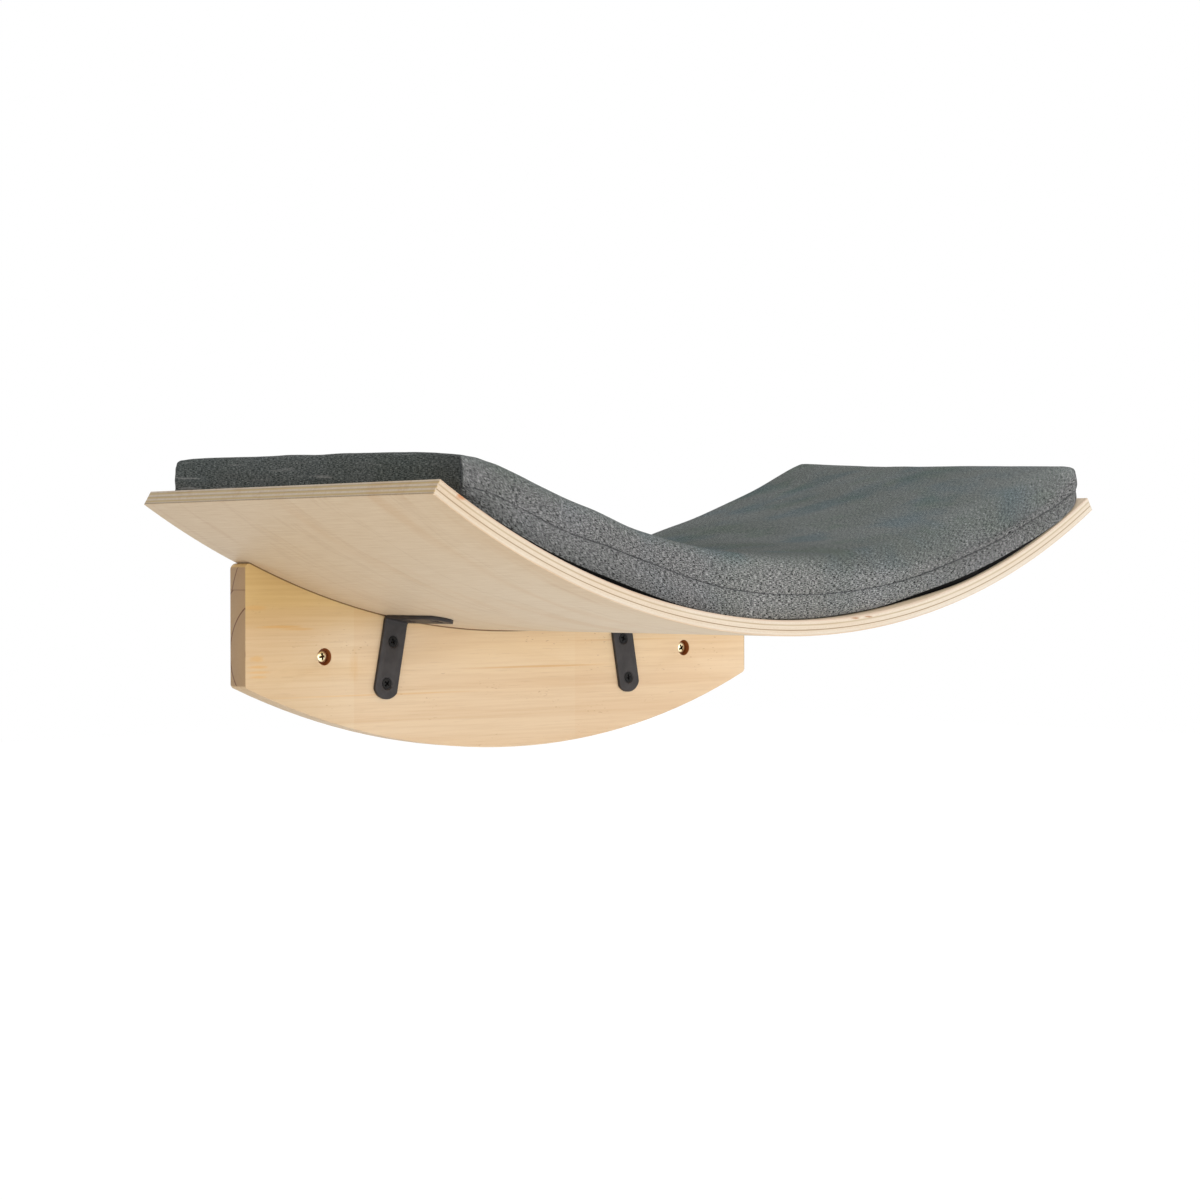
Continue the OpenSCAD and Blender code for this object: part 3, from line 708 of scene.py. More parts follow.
@dataclass(frozen=True)
class MarlClothFinish(Finish):
    """Grey marl cloth, woven of pale and dark threads."""

    pale: Colour = tone(176, 175, 174)
    mid: Colour = tone(75, 76, 77)
    dark: Colour = tone(14, 15, 16)
    # the same cloth for the top panel, with its brightness set for how light falls there: painted light and
    # shade
    painted_top_pale: Colour = tone(168, 172, 170)
    painted_top_mid: Colour = tone(102, 107, 105)
    painted_top_dark: Colour = tone(60, 65, 64)
    cloud_stain: Colour = tone(222, 226, 220)
    blue_stain: Colour = tone(204, 232, 250)
    green_stain: Colour = tone(222, 240, 222)
    painted_end_shade: Colour = tone(187, 193, 192)
    painted_top_shade: Colour = tone(232, 232, 232)
    painted_wing_shade: Colour = tone(231, 231, 232)
    seam_stitch_and_shade: Colour = tone(30, 33, 35)
    # painted shade: near-black for the gap under the cushion and the darkest shading
    painted_black_shade: Colour = tone(4, 4, 4)
    pitch: float = 0.00030
    slub: float = 8.0

    def dress(self, graph: Graph, shader: Node) -> None:
        """Weave on the cloth's own UV map, with painted light and shade: calmer colours on the top panel and
        ends, set for how light falls there, and painted shade and highlights on the ends, wings, seam and
        foot.
        """
        thread = graph.add("ShaderNodeUVMap", uv_map="Thread").outputs[0]
        place = graph.here()
        weave = Effects.thread_weave(graph, thread, self.pitch, self.slub)
        top, seam, end, dark = (graph.mask(name) for name in ("top_panel", "seam", "end_panel", "dark"))
        melange = weave["Melange"]
        side = graph.ramp(melange, [(0.41, self.dark), (0.49, self.mid), (0.57, self.pale)])
        # painted light and shade: the top panel, and partly the ends, take their own calmer, relit colours
        painted_top = graph.ramp(melange, [(0.36, self.painted_top_dark), (0.5, self.painted_top_mid), (0.64, self.painted_top_pale)])
        colour = graph.blend(graph.maths("MAXIMUM", top, graph.times(end, 0.55)), side, painted_top)
        clouds = graph.streaks(place, (16.0, 16.0, 16.0), 3.0, 0.6)
        colour = graph.stain(graph.remap(clouds, 0.35, 0.65, 0.0, 0.6), colour, self.cloud_stain)
        blues = graph.remap(graph.streaks(place, (22.0, 22.0, 22.0)), 0.46, 0.66)
        blue = graph.times(blues, graph.maths("MULTIPLY_ADD", top, 0.40, 0.12))
        colour = graph.stain(blue, colour, self.blue_stain)
        greens = graph.remap(graph.streaks(place, (34.0, 34.0, 34.0), 2.0, 0.55), 0.50, 0.68)
        green = graph.times(greens, graph.maths("MULTIPLY_ADD", top, 0.36, 0.10))
        colour = graph.stain(green, colour, self.green_stain)
        # painted shade: the end panels are darkened
        colour = graph.stain(graph.times(end, 0.8), colour, self.painted_end_shade)
        bent = graph.vector("ADD", thread, graph.vector("MULTIPLY", clouds, (0.004, 0.004, 0.0)))
        # painted highlights: pale streaks along fine creases on the end panels
        painted_crease_light = graph.remap(graph.streaks(bent, (26.0, 620.0, 0.0), 1.0), 0.64, 0.74, 0.0, 0.3)
        colour = graph.blend(graph.times(painted_crease_light, end), colour, self.pale)
        x = graph.split(place)[0]
        # painted shade: the top panel darkens from the right wing towards the middle and left
        top_shade_share = graph.times(graph.remap(x, 0.13, 0.03), top)
        colour = graph.stain(top_shade_share, colour, self.painted_top_shade)
        # painted shade: the sides darken towards both wings
        wing = graph.remap(graph.apart(x, 0.03), 0.05, 0.12)
        side_only = graph.maths("SUBTRACT", graph.minus(1.0, top), end, clamp=True)
        colour = graph.stain(graph.times(wing, side_only), colour, self.painted_wing_shade)
        # the seam's dark line: dark stitching, and painted shade in its drawn-in groove
        colour = graph.blend(graph.times(seam, 0.75), colour, self.seam_stitch_and_shade)
        # painted shade: black where the dark mask says, under the cushion, at its foot and corners
        colour = graph.blend(dark, colour, self.painted_black_shade)
        graph.feed(shader.inputs["Base Color"], colour)
        shader.inputs["Sheen Weight"].default_value = 0.06
        shader.inputs["Sheen Roughness"].default_value = 0.5
        height = graph.plus(weave["Relief"], graph.times(melange, 0.8))
        self.relief(graph, shader, height, 0.35, 0.0003)


@dataclass(frozen=True)
class TapeFinish(Finish):
    """Dark woven tape, also used for its hooks, loops and teeth."""

    colour: Colour = tone(34, 34, 36)
    light: Colour = tone(62, 62, 66)
    pitch: float = 0.0005
    slub: float = 5.0

    def dress(self, graph: Graph, shader: Node) -> None:
        """A fine weave over X and Y, with uneven threads."""
        x, y, z = graph.split(graph.here())
        flat = graph.combine(graph.plus(x, z), y, 0.0)
        weave = Effects.thread_weave(graph, flat, self.pitch, self.slub)
        mixed = graph.ramp(weave["Melange"], [(0.3, self.colour), (0.75, self.light)])
        graph.feed(shader.inputs["Base Color"], mixed)
        self.relief(graph, shader, weave["Relief"], 0.25, 0.0002)


@dataclass(frozen=True)
class FoamFinish(Finish):
    """Open-cell foam inside the cover."""

    colour: Colour = tone(238, 232, 210)
    pit_shade: Colour = tone(206, 196, 168)
    cells: float = 700.0

    def dress(self, graph: Graph, shader: Node) -> None:
        """Small cells as pits, with painted shade in them."""
        inputs = {"Vector": graph.here(), "Scale": self.cells}
        cells = graph.add("ShaderNodeTexVoronoi", inputs).outputs["Distance"]
        # painted shade: darker in the cells' pits
        mixed = graph.blend(graph.remap(cells, 0.0, 0.6), self.pit_shade, self.colour)
        graph.feed(shader.inputs["Base Color"], mixed)
        self.relief(graph, shader, cells, 0.5, 0.0005)


class Palette:
    """Every finish of the shelf, built once."""

    def __init__(self, bend: Bend) -> None:
        """Builds the materials.

        Args:
            bend: The curve that the plywood's layers follow.
        """
        bright = {"metallic": 1.0, "bump": 0.05}
        zinc = {"colour": tone(250, 240, 206), "cloud": tone(240, 218, 168)}
        nickel = {"colour": tone(150, 150, 152), "cloud": tone(126, 126, 128)}
        finishes: list[Finish] = [
            PlywoodFinish("plywood", 0.52, 0.4, bend=bend),
            PineFinish("pine", 0.5, 0.4, bend=bend),
            CoatedSteelFinish("black_steel", 0.5, 0.4),
            CoatedSteelFinish("black_screw", 0.42, 0.2, colour=tone(12, 11, 11), cloud=tone(18, 17, 17)),
            RecessedScrewFinish("yellow_zinc", 0.3, 0.5, **zinc, **bright),
            CoatedSteelFinish("zip_metal", 0.32, 0.5, **nickel, **bright),
            MarlClothFinish("cover_cloth", 0.95, 0.0),
            FoamFinish("foam", 0.95, 0.2),
            TapeFinish("hook_tape", 0.55, 0.4, colour=tone(26, 26, 27), light=tone(48, 48, 50)),
            TapeFinish("loop_tape", 0.9, 0.2, colour=tone(34, 34, 36), light=tone(60, 60, 64)),
            TapeFinish("zip_tape", 0.8, 0.3, colour=tone(40, 41, 43), light=tone(70, 71, 74)),
        ]
        self.materials = {finish.slot: finish.build() for finish in finishes}

    def __getitem__(self, slot: str) -> Material:
        """The material of a record slot."""
        return self.materials[slot]


# making meshes


def new_piece(name: str, mesh: Mesh, material: Material | None = None) -> Piece:
    """Links a mesh into the scene as an object at the origin.

    Args:
        name: The object's name.
        mesh: Its mesh.
        material: Its one material, or None to keep the mesh's own.

    Returns:
        The object.
    """
    piece = bpy.data.objects.new(name, mesh)
    bpy.context.scene.collection.objects.link(piece)
    if material is not None:
        mesh.materials.clear()
        mesh.materials.append(material)
    return piece


def mesh_of(name: str, shape: Shape) -> Mesh:
    """Makes a mesh of points and faces, with doubles merged and faces turned outwards."""
    mesh = bpy.data.meshes.new(name)
    mesh.from_pydata(shape[0], [], shape[1])
    tidy(mesh)
    return mesh


@contextmanager
def edited(mesh: Mesh) -> Iterator[bmesh.types.BMesh]:
    """Opens a mesh for changes, and writes them back.

    Args:
        mesh: The mesh to change.

    Yields:
        The mesh as Blender edits it.
    """
    work = bmesh.new()
    work.from_mesh(mesh)
    yield work
    work.to_mesh(mesh)
    work.free()


def tidy(mesh: Mesh, merge: float = 1e-6, outward: bool = True) -> None:
    """Merges doubles and turns faces outwards.

    Args:
        mesh: The mesh to change.
        merge: Points nearer than this are joined.
        outward: Whether normals are recalculated.
    """
    with edited(mesh) as work:
        bmesh.ops.remove_doubles(work, verts=work.verts, dist=merge)
        bmesh.ops.dissolve_degenerate(work, edges=work.edges, dist=merge)
        if outward:
            bmesh.ops.recalc_face_normals(work, faces=work.faces)


def smooth(mesh: Mesh, degrees: float = 35.0) -> None:
    """Shades a mesh smooth, except over edges sharper than an angle."""
    mesh.shade_smooth()
    mesh.set_sharp_from_angle(angle=math.radians(degrees))


def baked(piece: Piece) -> None:
    """Applies all of a piece's modifiers to its mesh."""
    graph = bpy.context.evaluated_depsgraph_get()
    mesh = bpy.data.meshes.new_from_object(piece.evaluated_get(graph))
    piece.modifiers.clear()
    piece.data = mesh


def softened_copy(node: str, name: str, material: Material, ease: float) -> Piece:
    """Copies a CAD node, joins its loose triangles and eases its edges.

    Args:
        node: The CAD node.
        name: The new piece's name.
        material: Its material.
        ease: Width of the easing.

    Returns:
        The new piece.
    """
    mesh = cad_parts[node].data.copy()
    tidy(mesh, 2e-6, False)
    with edited(mesh) as work:
        flat = math.radians(0.4)
        bmesh.ops.dissolve_limit(work, angle_limit=flat, verts=work.verts, edges=work.edges)
    piece = new_piece(name, mesh, material)
    bevel = piece.modifiers.new("eased edges", "BEVEL")
    bevel.width, bevel.segments, bevel.limit_method = ease, 2, "ANGLE"
    bevel.angle_limit, bevel.use_clamp_overlap = math.radians(38), True
    baked(piece)
    smooth(piece.data, 38)
    return piece


def skin(rings: int, sides: int) -> Faces:
    """Four-cornered faces between closed rings of points.

    Args:
        rings: Number of rings.
        sides: Points on each ring.

    Returns:
        The faces.
    """
    after = [(k + 1) % sides for k in range(sides)]
    return [
        (a * sides + k, a * sides + after[k], (a + 1) * sides + after[k], (a + 1) * sides + k)
        for a in range(rings - 1)
        for k in range(sides)
    ]


def lids(rings: int, sides: int) -> Faces:
    """The faces that close the first ring and the last."""
    return [tuple(range(sides)), tuple((rings - 1) * sides + k for k in reversed(range(sides)))]


def flat_bar(
    x: Pair,
    y: Pair,
    z: Pair,
    ease: float,
    step: float,
    arc: int = 3,
) -> Shape:
    """A straight bar along X with rounded edges, cut into short lengths so that it can bend.

    Args:
        x: Where it starts and ends.
        y: Its lowest and highest Y.
        z: Its lowest and highest Z.
        ease: Radius of its edges.
        step: Longest length between two cuts.
        arc: Number of steps round each edge.

    Returns:
        Its points and faces.
    """
    corners = ((y[1], z[1], 0), (y[0], z[1], 90), (y[0], z[0], 180), (y[1], z[0], 270))

    def ring(place: float, inset: float) -> list[Point]:
        """The outline at one place, drawn in by an inset."""
        radius, points = ease - inset, []
        for cy, cz, start in corners:
            my = cy - math.copysign(ease, cy - sum(y) / 2)
            mz = cz - math.copysign(ease, cz - sum(z) / 2)
            for k in range(arc + 1):
                turn = math.radians(start + 90.0 * k / arc)
                points.append((place, my + radius * math.cos(turn), mz + radius * math.sin(turn)))
        return points

    count = max(1, math.ceil((x[1] - x[0] - 2 * ease) / step))
    turns = [math.pi / 2 * k / arc for k in range(arc)]
    places = [(x[0] + ease * (1 - math.cos(q)), ease * min(0.999, 1 - math.sin(q))) for q in turns]
    inner = [(x[0] + ease + (x[1] - x[0] - 2 * ease) * k / count, 0.0) for k in range(count + 1)]
    mirrored = [(x[0] + x[1] - px, inset) for px, inset in reversed(places)]
    rings = [ring(px, inset) for px, inset in places + inner + mirrored]
    size = (len(rings), len(rings[0]))
    return [point for outline in rings for point in outline], skin(*size) + lids(*size)


def turned_shape(profile: Sequence[Pair], sides: int) -> Shape:
    """A solid of revolution about Z.

    Args:
        profile: Radius and height of each ring, from one pole to the other.
        sides: Number of sides.

    Returns:
        Its points and faces.
    """
    points: list[Point] = []
    for radius, height in profile:
        for k in range(sides):
            turn = math.tau * k / sides
            points.append((radius * math.cos(turn), radius * math.sin(turn), height))
    return points, skin(len(profile), sides) + [lid[::-1] for lid in lids(len(profile), sides)]


def tube_shape(path: Array, radius: float, sides: int) -> Shape:
    """A thin closed-ended tube along a path of points.

    Args:
        path: One row of X, Y and Z for each point.
        radius: The tube's radius.
        sides: Its number of sides.

    Returns:
        Its points and faces.
    """
    points: list[Point] = []
    count = len(path)
    normal = Vector((0.0, 0.0, 1.0))
    for i in range(count):
        way = Vector(path[min(i + 1, count - 1)] - path[max(i - 1, 0)]).normalized()
        level = abs(normal.dot(way)) < 0.99
        normal = (normal - way * normal.dot(way) if level else way.orthogonal()).normalized()
        other = way.cross(normal)
        for k in range(sides):
            turn = math.tau * k / sides
            off = normal * math.cos(turn) + other * math.sin(turn)
            points.append(tuple(Vector(path[i]) + off * radius))
    return points, skin(count, sides) + [lid[::-1] for lid in lids(count, sides)]


def gathered(shapes: Sequence[Shape]) -> Shape:
    """Puts several shapes into one, without joining them.

    Args:
        shapes: Points and faces of each.

    Returns:
        All their points and faces.
    """
    points: list[Point] = []
    faces: Faces = []
    for shape in shapes:
        faces += [tuple(len(points) + corner for corner in face) for face in shape[1]]
        points += shape[0]
    return points, faces


# shares along a length


def climb(value: Array, start: float, length: float) -> Array:
    """Climbs evenly from 0 to 1, from a start and over a length."""
    return np.clip((value - start) / length, 0.0, 1.0)


def eased(value: Array, start: float, length: float) -> Array:
    """Climbs from 0 to 1, gently at both ends."""
    u = climb(value, start, length)
    return u * u * (3 - 2 * u)


def hump(value: Array, middle: float, width: float) -> Array:
    """A soft hump that is 1 at its middle."""
    return np.exp(-(((value - middle) / width) ** 2))


# geometry trees


class Trees:
    """Geometry node trees for what repeats along the bend, and for screws."""

    ON_THE_BEND = {"Radius": "Float", "Axis Height": "Float", "Material": "Material"}

    @staticmethod
    def start(name: str, inputs: dict[str, str]) -> tuple[Graph, Any, Node]:
        """Begins a tree with a Geometry input and output and further named inputs.

        Args:
            name: The tree's name.
            inputs: Kind of each further input, by name. A piece gives them all their values.

        Returns:
            The graph, the input sockets and the output node.
        """
        tree = bpy.data.node_groups.new(name, "GeometryNodeTree")
        add_sockets(tree, "INPUT", {"Geometry": "Geometry"} | inputs)
        add_sockets(tree, "OUTPUT", {"Geometry": "Geometry"})
        graph = Graph(tree)
        return graph, graph.add("NodeGroupInput").outputs, graph.add("NodeGroupOutput")

    @staticmethod
    def finish(graph: Graph, geometry: Any, take: Any, leave: Node) -> Tree:
        """Ends a tree in Realize Instances and Set Material, and returns it."""
        real = graph.add("GeometryNodeRealizeInstances", {0: geometry}).outputs[0]
        inputs = {"Geometry": real, "Material": take["Material"]}
        graph.feed(leave.inputs[0], graph.add("GeometryNodeSetMaterial", inputs).outputs[0])
        return graph.tree

    @staticmethod
    def bent(graph: Graph, geometry: Any, take: Any) -> Socket:
        """Bends flat work over the radius: X becomes an angle, and Z a height towards the axis."""
        x, y, z = graph.split(graph.add("GeometryNodeInputPosition").outputs[0])
        turn = graph.over(x, take["Radius"])
        reach = graph.minus(take["Radius"], z)
        across = graph.times(reach, graph.maths("SINE", turn))
        down = graph.times(reach, graph.maths("COSINE", turn))
        place = graph.combine(across, y, graph.minus(take["Axis Height"], down))
        real = graph.add("GeometryNodeRealizeInstances", {0: geometry}).outputs[0]
        return graph.add("GeometryNodeSetPosition", {"Geometry": real, "Position": place}).outputs[0]

    @staticmethod
    def set_out(graph: Graph, points: Any, element: Any, rotation: Any = (0.0, 0.0, 0.0)) -> Socket:
        """Puts a copy of an object on each point."""
        shape = graph.add("GeometryNodeObjectInfo", {"Object": element}).outputs["Geometry"]
        inputs = {"Points": points, "Instance": shape, "Rotation": rotation}
        return graph.add("GeometryNodeInstanceOnPoints", inputs).outputs[0]

    @staticmethod
    def joined(graph: Graph, *parts: Any) -> Socket:
        """Joins pieces of geometry."""
        node = graph.add("GeometryNodeJoinGeometry")
        for part in parts:
            graph.feed(node.inputs[0], part)
        return node.outputs[0]

    @classmethod
    def bent_board(cls) -> Tree:
        """Bends a flat host over the curve."""
        graph, take, leave = cls.start("bent board", cls.ON_THE_BEND)
        return cls.finish(graph, cls.bent(graph, take["Geometry"], take), take, leave)

    @classmethod
    def bent_pile(cls) -> Tree:
        """A flat host covered with rows of a small element, jittered and turned, then bent."""
        inputs = {
            "Element": "Object", "Width": "Float", "Length": "Float", "Pitch": "Float", "Centre": "Vector",
            "Jitter": "Float", "Swing": "Float", "Seed": "Int",
        }
        graph, take, leave = cls.start("bent pile", inputs | cls.ON_THE_BEND)
        across, down = (
            graph.plus(graph.maths("FLOOR", graph.over(take[way], take["Pitch"])), 1.0)
            for way in ("Width", "Length")
        )
        sizes = {"Size X": take["Width"], "Size Y": take["Length"], "Vertices X": across, "Vertices Y": down}
        grid = graph.add("GeometryNodeMeshGrid", sizes).outputs["Mesh"]
        reach = graph.times(take["Pitch"], take["Jitter"])
        back = graph.times(reach, -1.0)
        low, high = graph.combine(back, back, 0.0), graph.combine(reach, reach, 0.0)
        shakes = {"Min": low, "Max": high, "Seed": take["Seed"]}
        shake = graph.add("FunctionNodeRandomValue", shakes, data_type="FLOAT_VECTOR").outputs[0]
        offset = graph.vector("ADD", shake, take["Centre"])
        spread = graph.add("GeometryNodeSetPosition", {"Geometry": grid, "Offset": offset}).outputs[0]
        swings = {2: graph.times(take["Swing"], -1.0), 3: take["Swing"], "Seed": take["Seed"]}
        swing = graph.add("FunctionNodeRandomValue", swings, data_type="FLOAT").outputs[1]
        rows = cls.set_out(graph, spread, take["Element"], graph.combine(0.0, 0.0, swing))
        whole = cls.joined(graph, rows, take["Geometry"])
        return cls.finish(graph, cls.bent(graph, whole, take), take, leave)

    @classmethod
    def bent_teeth(cls) -> Tree:
        """Two interleaved rows of teeth, and stitches along both edges, on a flat host, then bent."""
        inputs = {
            "Tooth": "Object", "Stitch": "Object", "Length": "Float", "Pitch": "Float", "Y": "Float",
            "Stitch Pitch": "Float", "Stitch Height": "Float", "Stitch Y": "Float",
        }
        graph, take, leave = cls.start("bent teeth", inputs | cls.ON_THE_BEND)

        def row(start: Socket, pitch: Socket, element: Socket, turn: float) -> Socket:
            """Elements one pitch apart along X, each turned about Y."""
            line = {
                "Count": graph.maths("FLOOR", graph.over(take["Length"], pitch)),
                "Start Location": start,
                "Offset": graph.combine(pitch, 0.0, 0.0),
            }
            points = graph.add("GeometryNodeMeshLine", line).outputs[0]
            return cls.set_out(graph, points, element, (0.0, turn, 0.0))

        parts = [take["Geometry"]]
        half = graph.times(take["Length"], -0.5)
        for shift, turn in ((0.0, 0.0), (0.5, math.pi)):
            first = graph.plus(half, graph.times(take["Pitch"], shift))
            parts.append(row(graph.combine(first, take["Y"], 0.0), take["Pitch"], take["Tooth"], turn))
        for way in (-1.0, 1.0):
            start = graph.combine(half, take["Stitch Y"], graph.times(take["Stitch Height"], way))
            parts.append(row(start, take["Stitch Pitch"], take["Stitch"], 0.0))
        return cls.finish(graph, cls.bent(graph, cls.joined(graph, *parts), take), take, leave)

    @classmethod
    def screw_thread(cls) -> Tree:
        """Winds a ridge round a host screw, down Z from a start height."""
        inputs = {
            "Core Radius": "Float", "Ridge": "Float", "Pitch": "Float", "Top": "Float", "Length": "Float",
            "Material": "Material",
        }
        graph, take, leave = cls.start("screw thread", inputs)
        core, length = take["Core Radius"], take["Length"]
        winding = {
            "Resolution": 24, "Rotations": graph.over(length, take["Pitch"]), "Start Radius": core,
            "End Radius": core, "Height": length,
        }
        spiral = graph.add("GeometryNodeCurveSpiral", winding).outputs[0]
        drop = graph.combine(0.0, 0.0, graph.minus(take["Top"], length))
        lowered = graph.add("GeometryNodeTransform", {"Geometry": spiral, "Translation": drop}).outputs[0]
        outline = graph.add("GeometryNodeCurvePrimitiveCircle", {"Resolution": 4, "Radius": take["Ridge"]})
        sweep = {"Curve": lowered, "Profile Curve": outline.outputs[0], "Fill Caps": True}
        ridge = graph.add("GeometryNodeCurveToMesh", sweep).outputs[0]
        return cls.finish(graph, cls.joined(graph, ridge, take["Geometry"]), take, leave)

    @classmethod
    def screw_set(cls) -> Tree:
        """Puts one screw on each point of the host, along the point's aim and turned by its turn."""
        graph, take, leave = cls.start("screw set", {"Screw": "Object", "Material": "Material"})
        aim, turn = (
            graph.add("GeometryNodeInputNamedAttribute", {"Name": name}, data_type=kind).outputs["Attribute"]
            for name, kind in (("aim", "FLOAT_VECTOR"), ("turn", "FLOAT"))
        )
        aligned = graph.add("FunctionNodeAlignRotationToVector", {"Vector": aim}, axis="Z").outputs[0]
        about_z = {"Axis": (0.0, 0.0, 1.0), "Angle": turn}
        spin = graph.add("FunctionNodeAxisAngleToRotation", about_z).outputs[0]
        turns = {"Rotation": aligned, "Rotate By": spin}
        both = graph.add("FunctionNodeRotateRotation", turns, rotation_space="LOCAL").outputs[0]
        points = graph.add("GeometryNodeMeshToPoints", {"Mesh": take["Geometry"]}).outputs[0]
        return cls.finish(graph, cls.set_out(graph, points, take["Screw"], both), take, leave)


def grown(
    name: str, host: Mesh, tree: Tree, values: dict[str, Any], angle: float = 40.0
) -> Piece:
    """Runs a geometry tree on a host mesh and keeps the result as a plain piece.

    Args:
        name: The piece's name.
        host: The mesh that goes into the tree.
        tree: The geometry tree.
        values: The tree's inputs by name.
        angle: Edges sharper than this stay sharp, in degrees.

    Returns:
        The piece, at the origin and without modifiers.
    """
    holder = new_piece(name + "_host", host)
    modifier = holder.modifiers.new("tree", "NODES")
    modifier.node_group = tree
    for item in tree.interface.items_tree:
        if item.item_type == "SOCKET" and item.in_out == "INPUT" and item.name in values:
            modifier[item.identifier] = values[item.name]
    graph = bpy.context.evaluated_depsgraph_get()
    mesh = bpy.data.meshes.new_from_object(holder.evaluated_get(graph))
    holder.modifiers.remove(modifier)
    bpy.data.objects.remove(holder)
    for attribute in [a.name for a in mesh.attributes if a.name in ("aim", "turn")]:
        mesh.attributes.remove(mesh.attributes[attribute])
    smooth(mesh, angle)
    mesh.name = name
    return new_piece(name, mesh)


# sub-assemblies


@dataclass
class PlywoodSeat:
    """The bent plywood that the cushion lies on."""

    bend: Bend
    ease: float = 0.45 * MM
    step: float = 4.0 * MM

    def build(self, palette: Palette) -> Piece:
        """Bends a flat board with eased edges to the curve.

        Args:
            palette: The finishes.

        Returns:
            The dressed piece.
        """
        bend = self.bend
        half = bend.half_turn * bend.seat_radius
        thick = bend.under_radius - bend.seat_radius
        board = flat_bar((-half, half), (-bend.depth, 0.0), (-thick, 0.0), self.ease, self.step)
        values = {"Radius": bend.seat_radius, "Axis Height": bend.axis_height, "Material": palette["plywood"]}
        piece = grown("plywood_seat", mesh_of("plywood", board), Trees.bent_board(), values)
        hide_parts("shelf_board")
        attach(piece, "shelf")
        return piece


@dataclass
class WallMount:
    """The pine board and the two steel brackets."""

    board_ease: float = 0.5 * MM
    steel_ease: float = 0.28 * MM

    def build(self, palette: Palette) -> list[Piece]:
        """Copies the board and the brackets with eased edges.

        Args:
            palette: The finishes.

        Returns:
            The three pieces.
        """
        pieces = []
        for node, slot, ease in (
            ("wall_board", "pine", self.board_ease),
            ("bracket_left", "black_steel", self.steel_ease),
            ("bracket_right", "black_steel", self.steel_ease),
        ):
            piece = softened_copy(node, node + "_eased", palette[slot], ease)
            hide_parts(node)
            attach(piece, "shelf")
            pieces.append(piece)
        return pieces


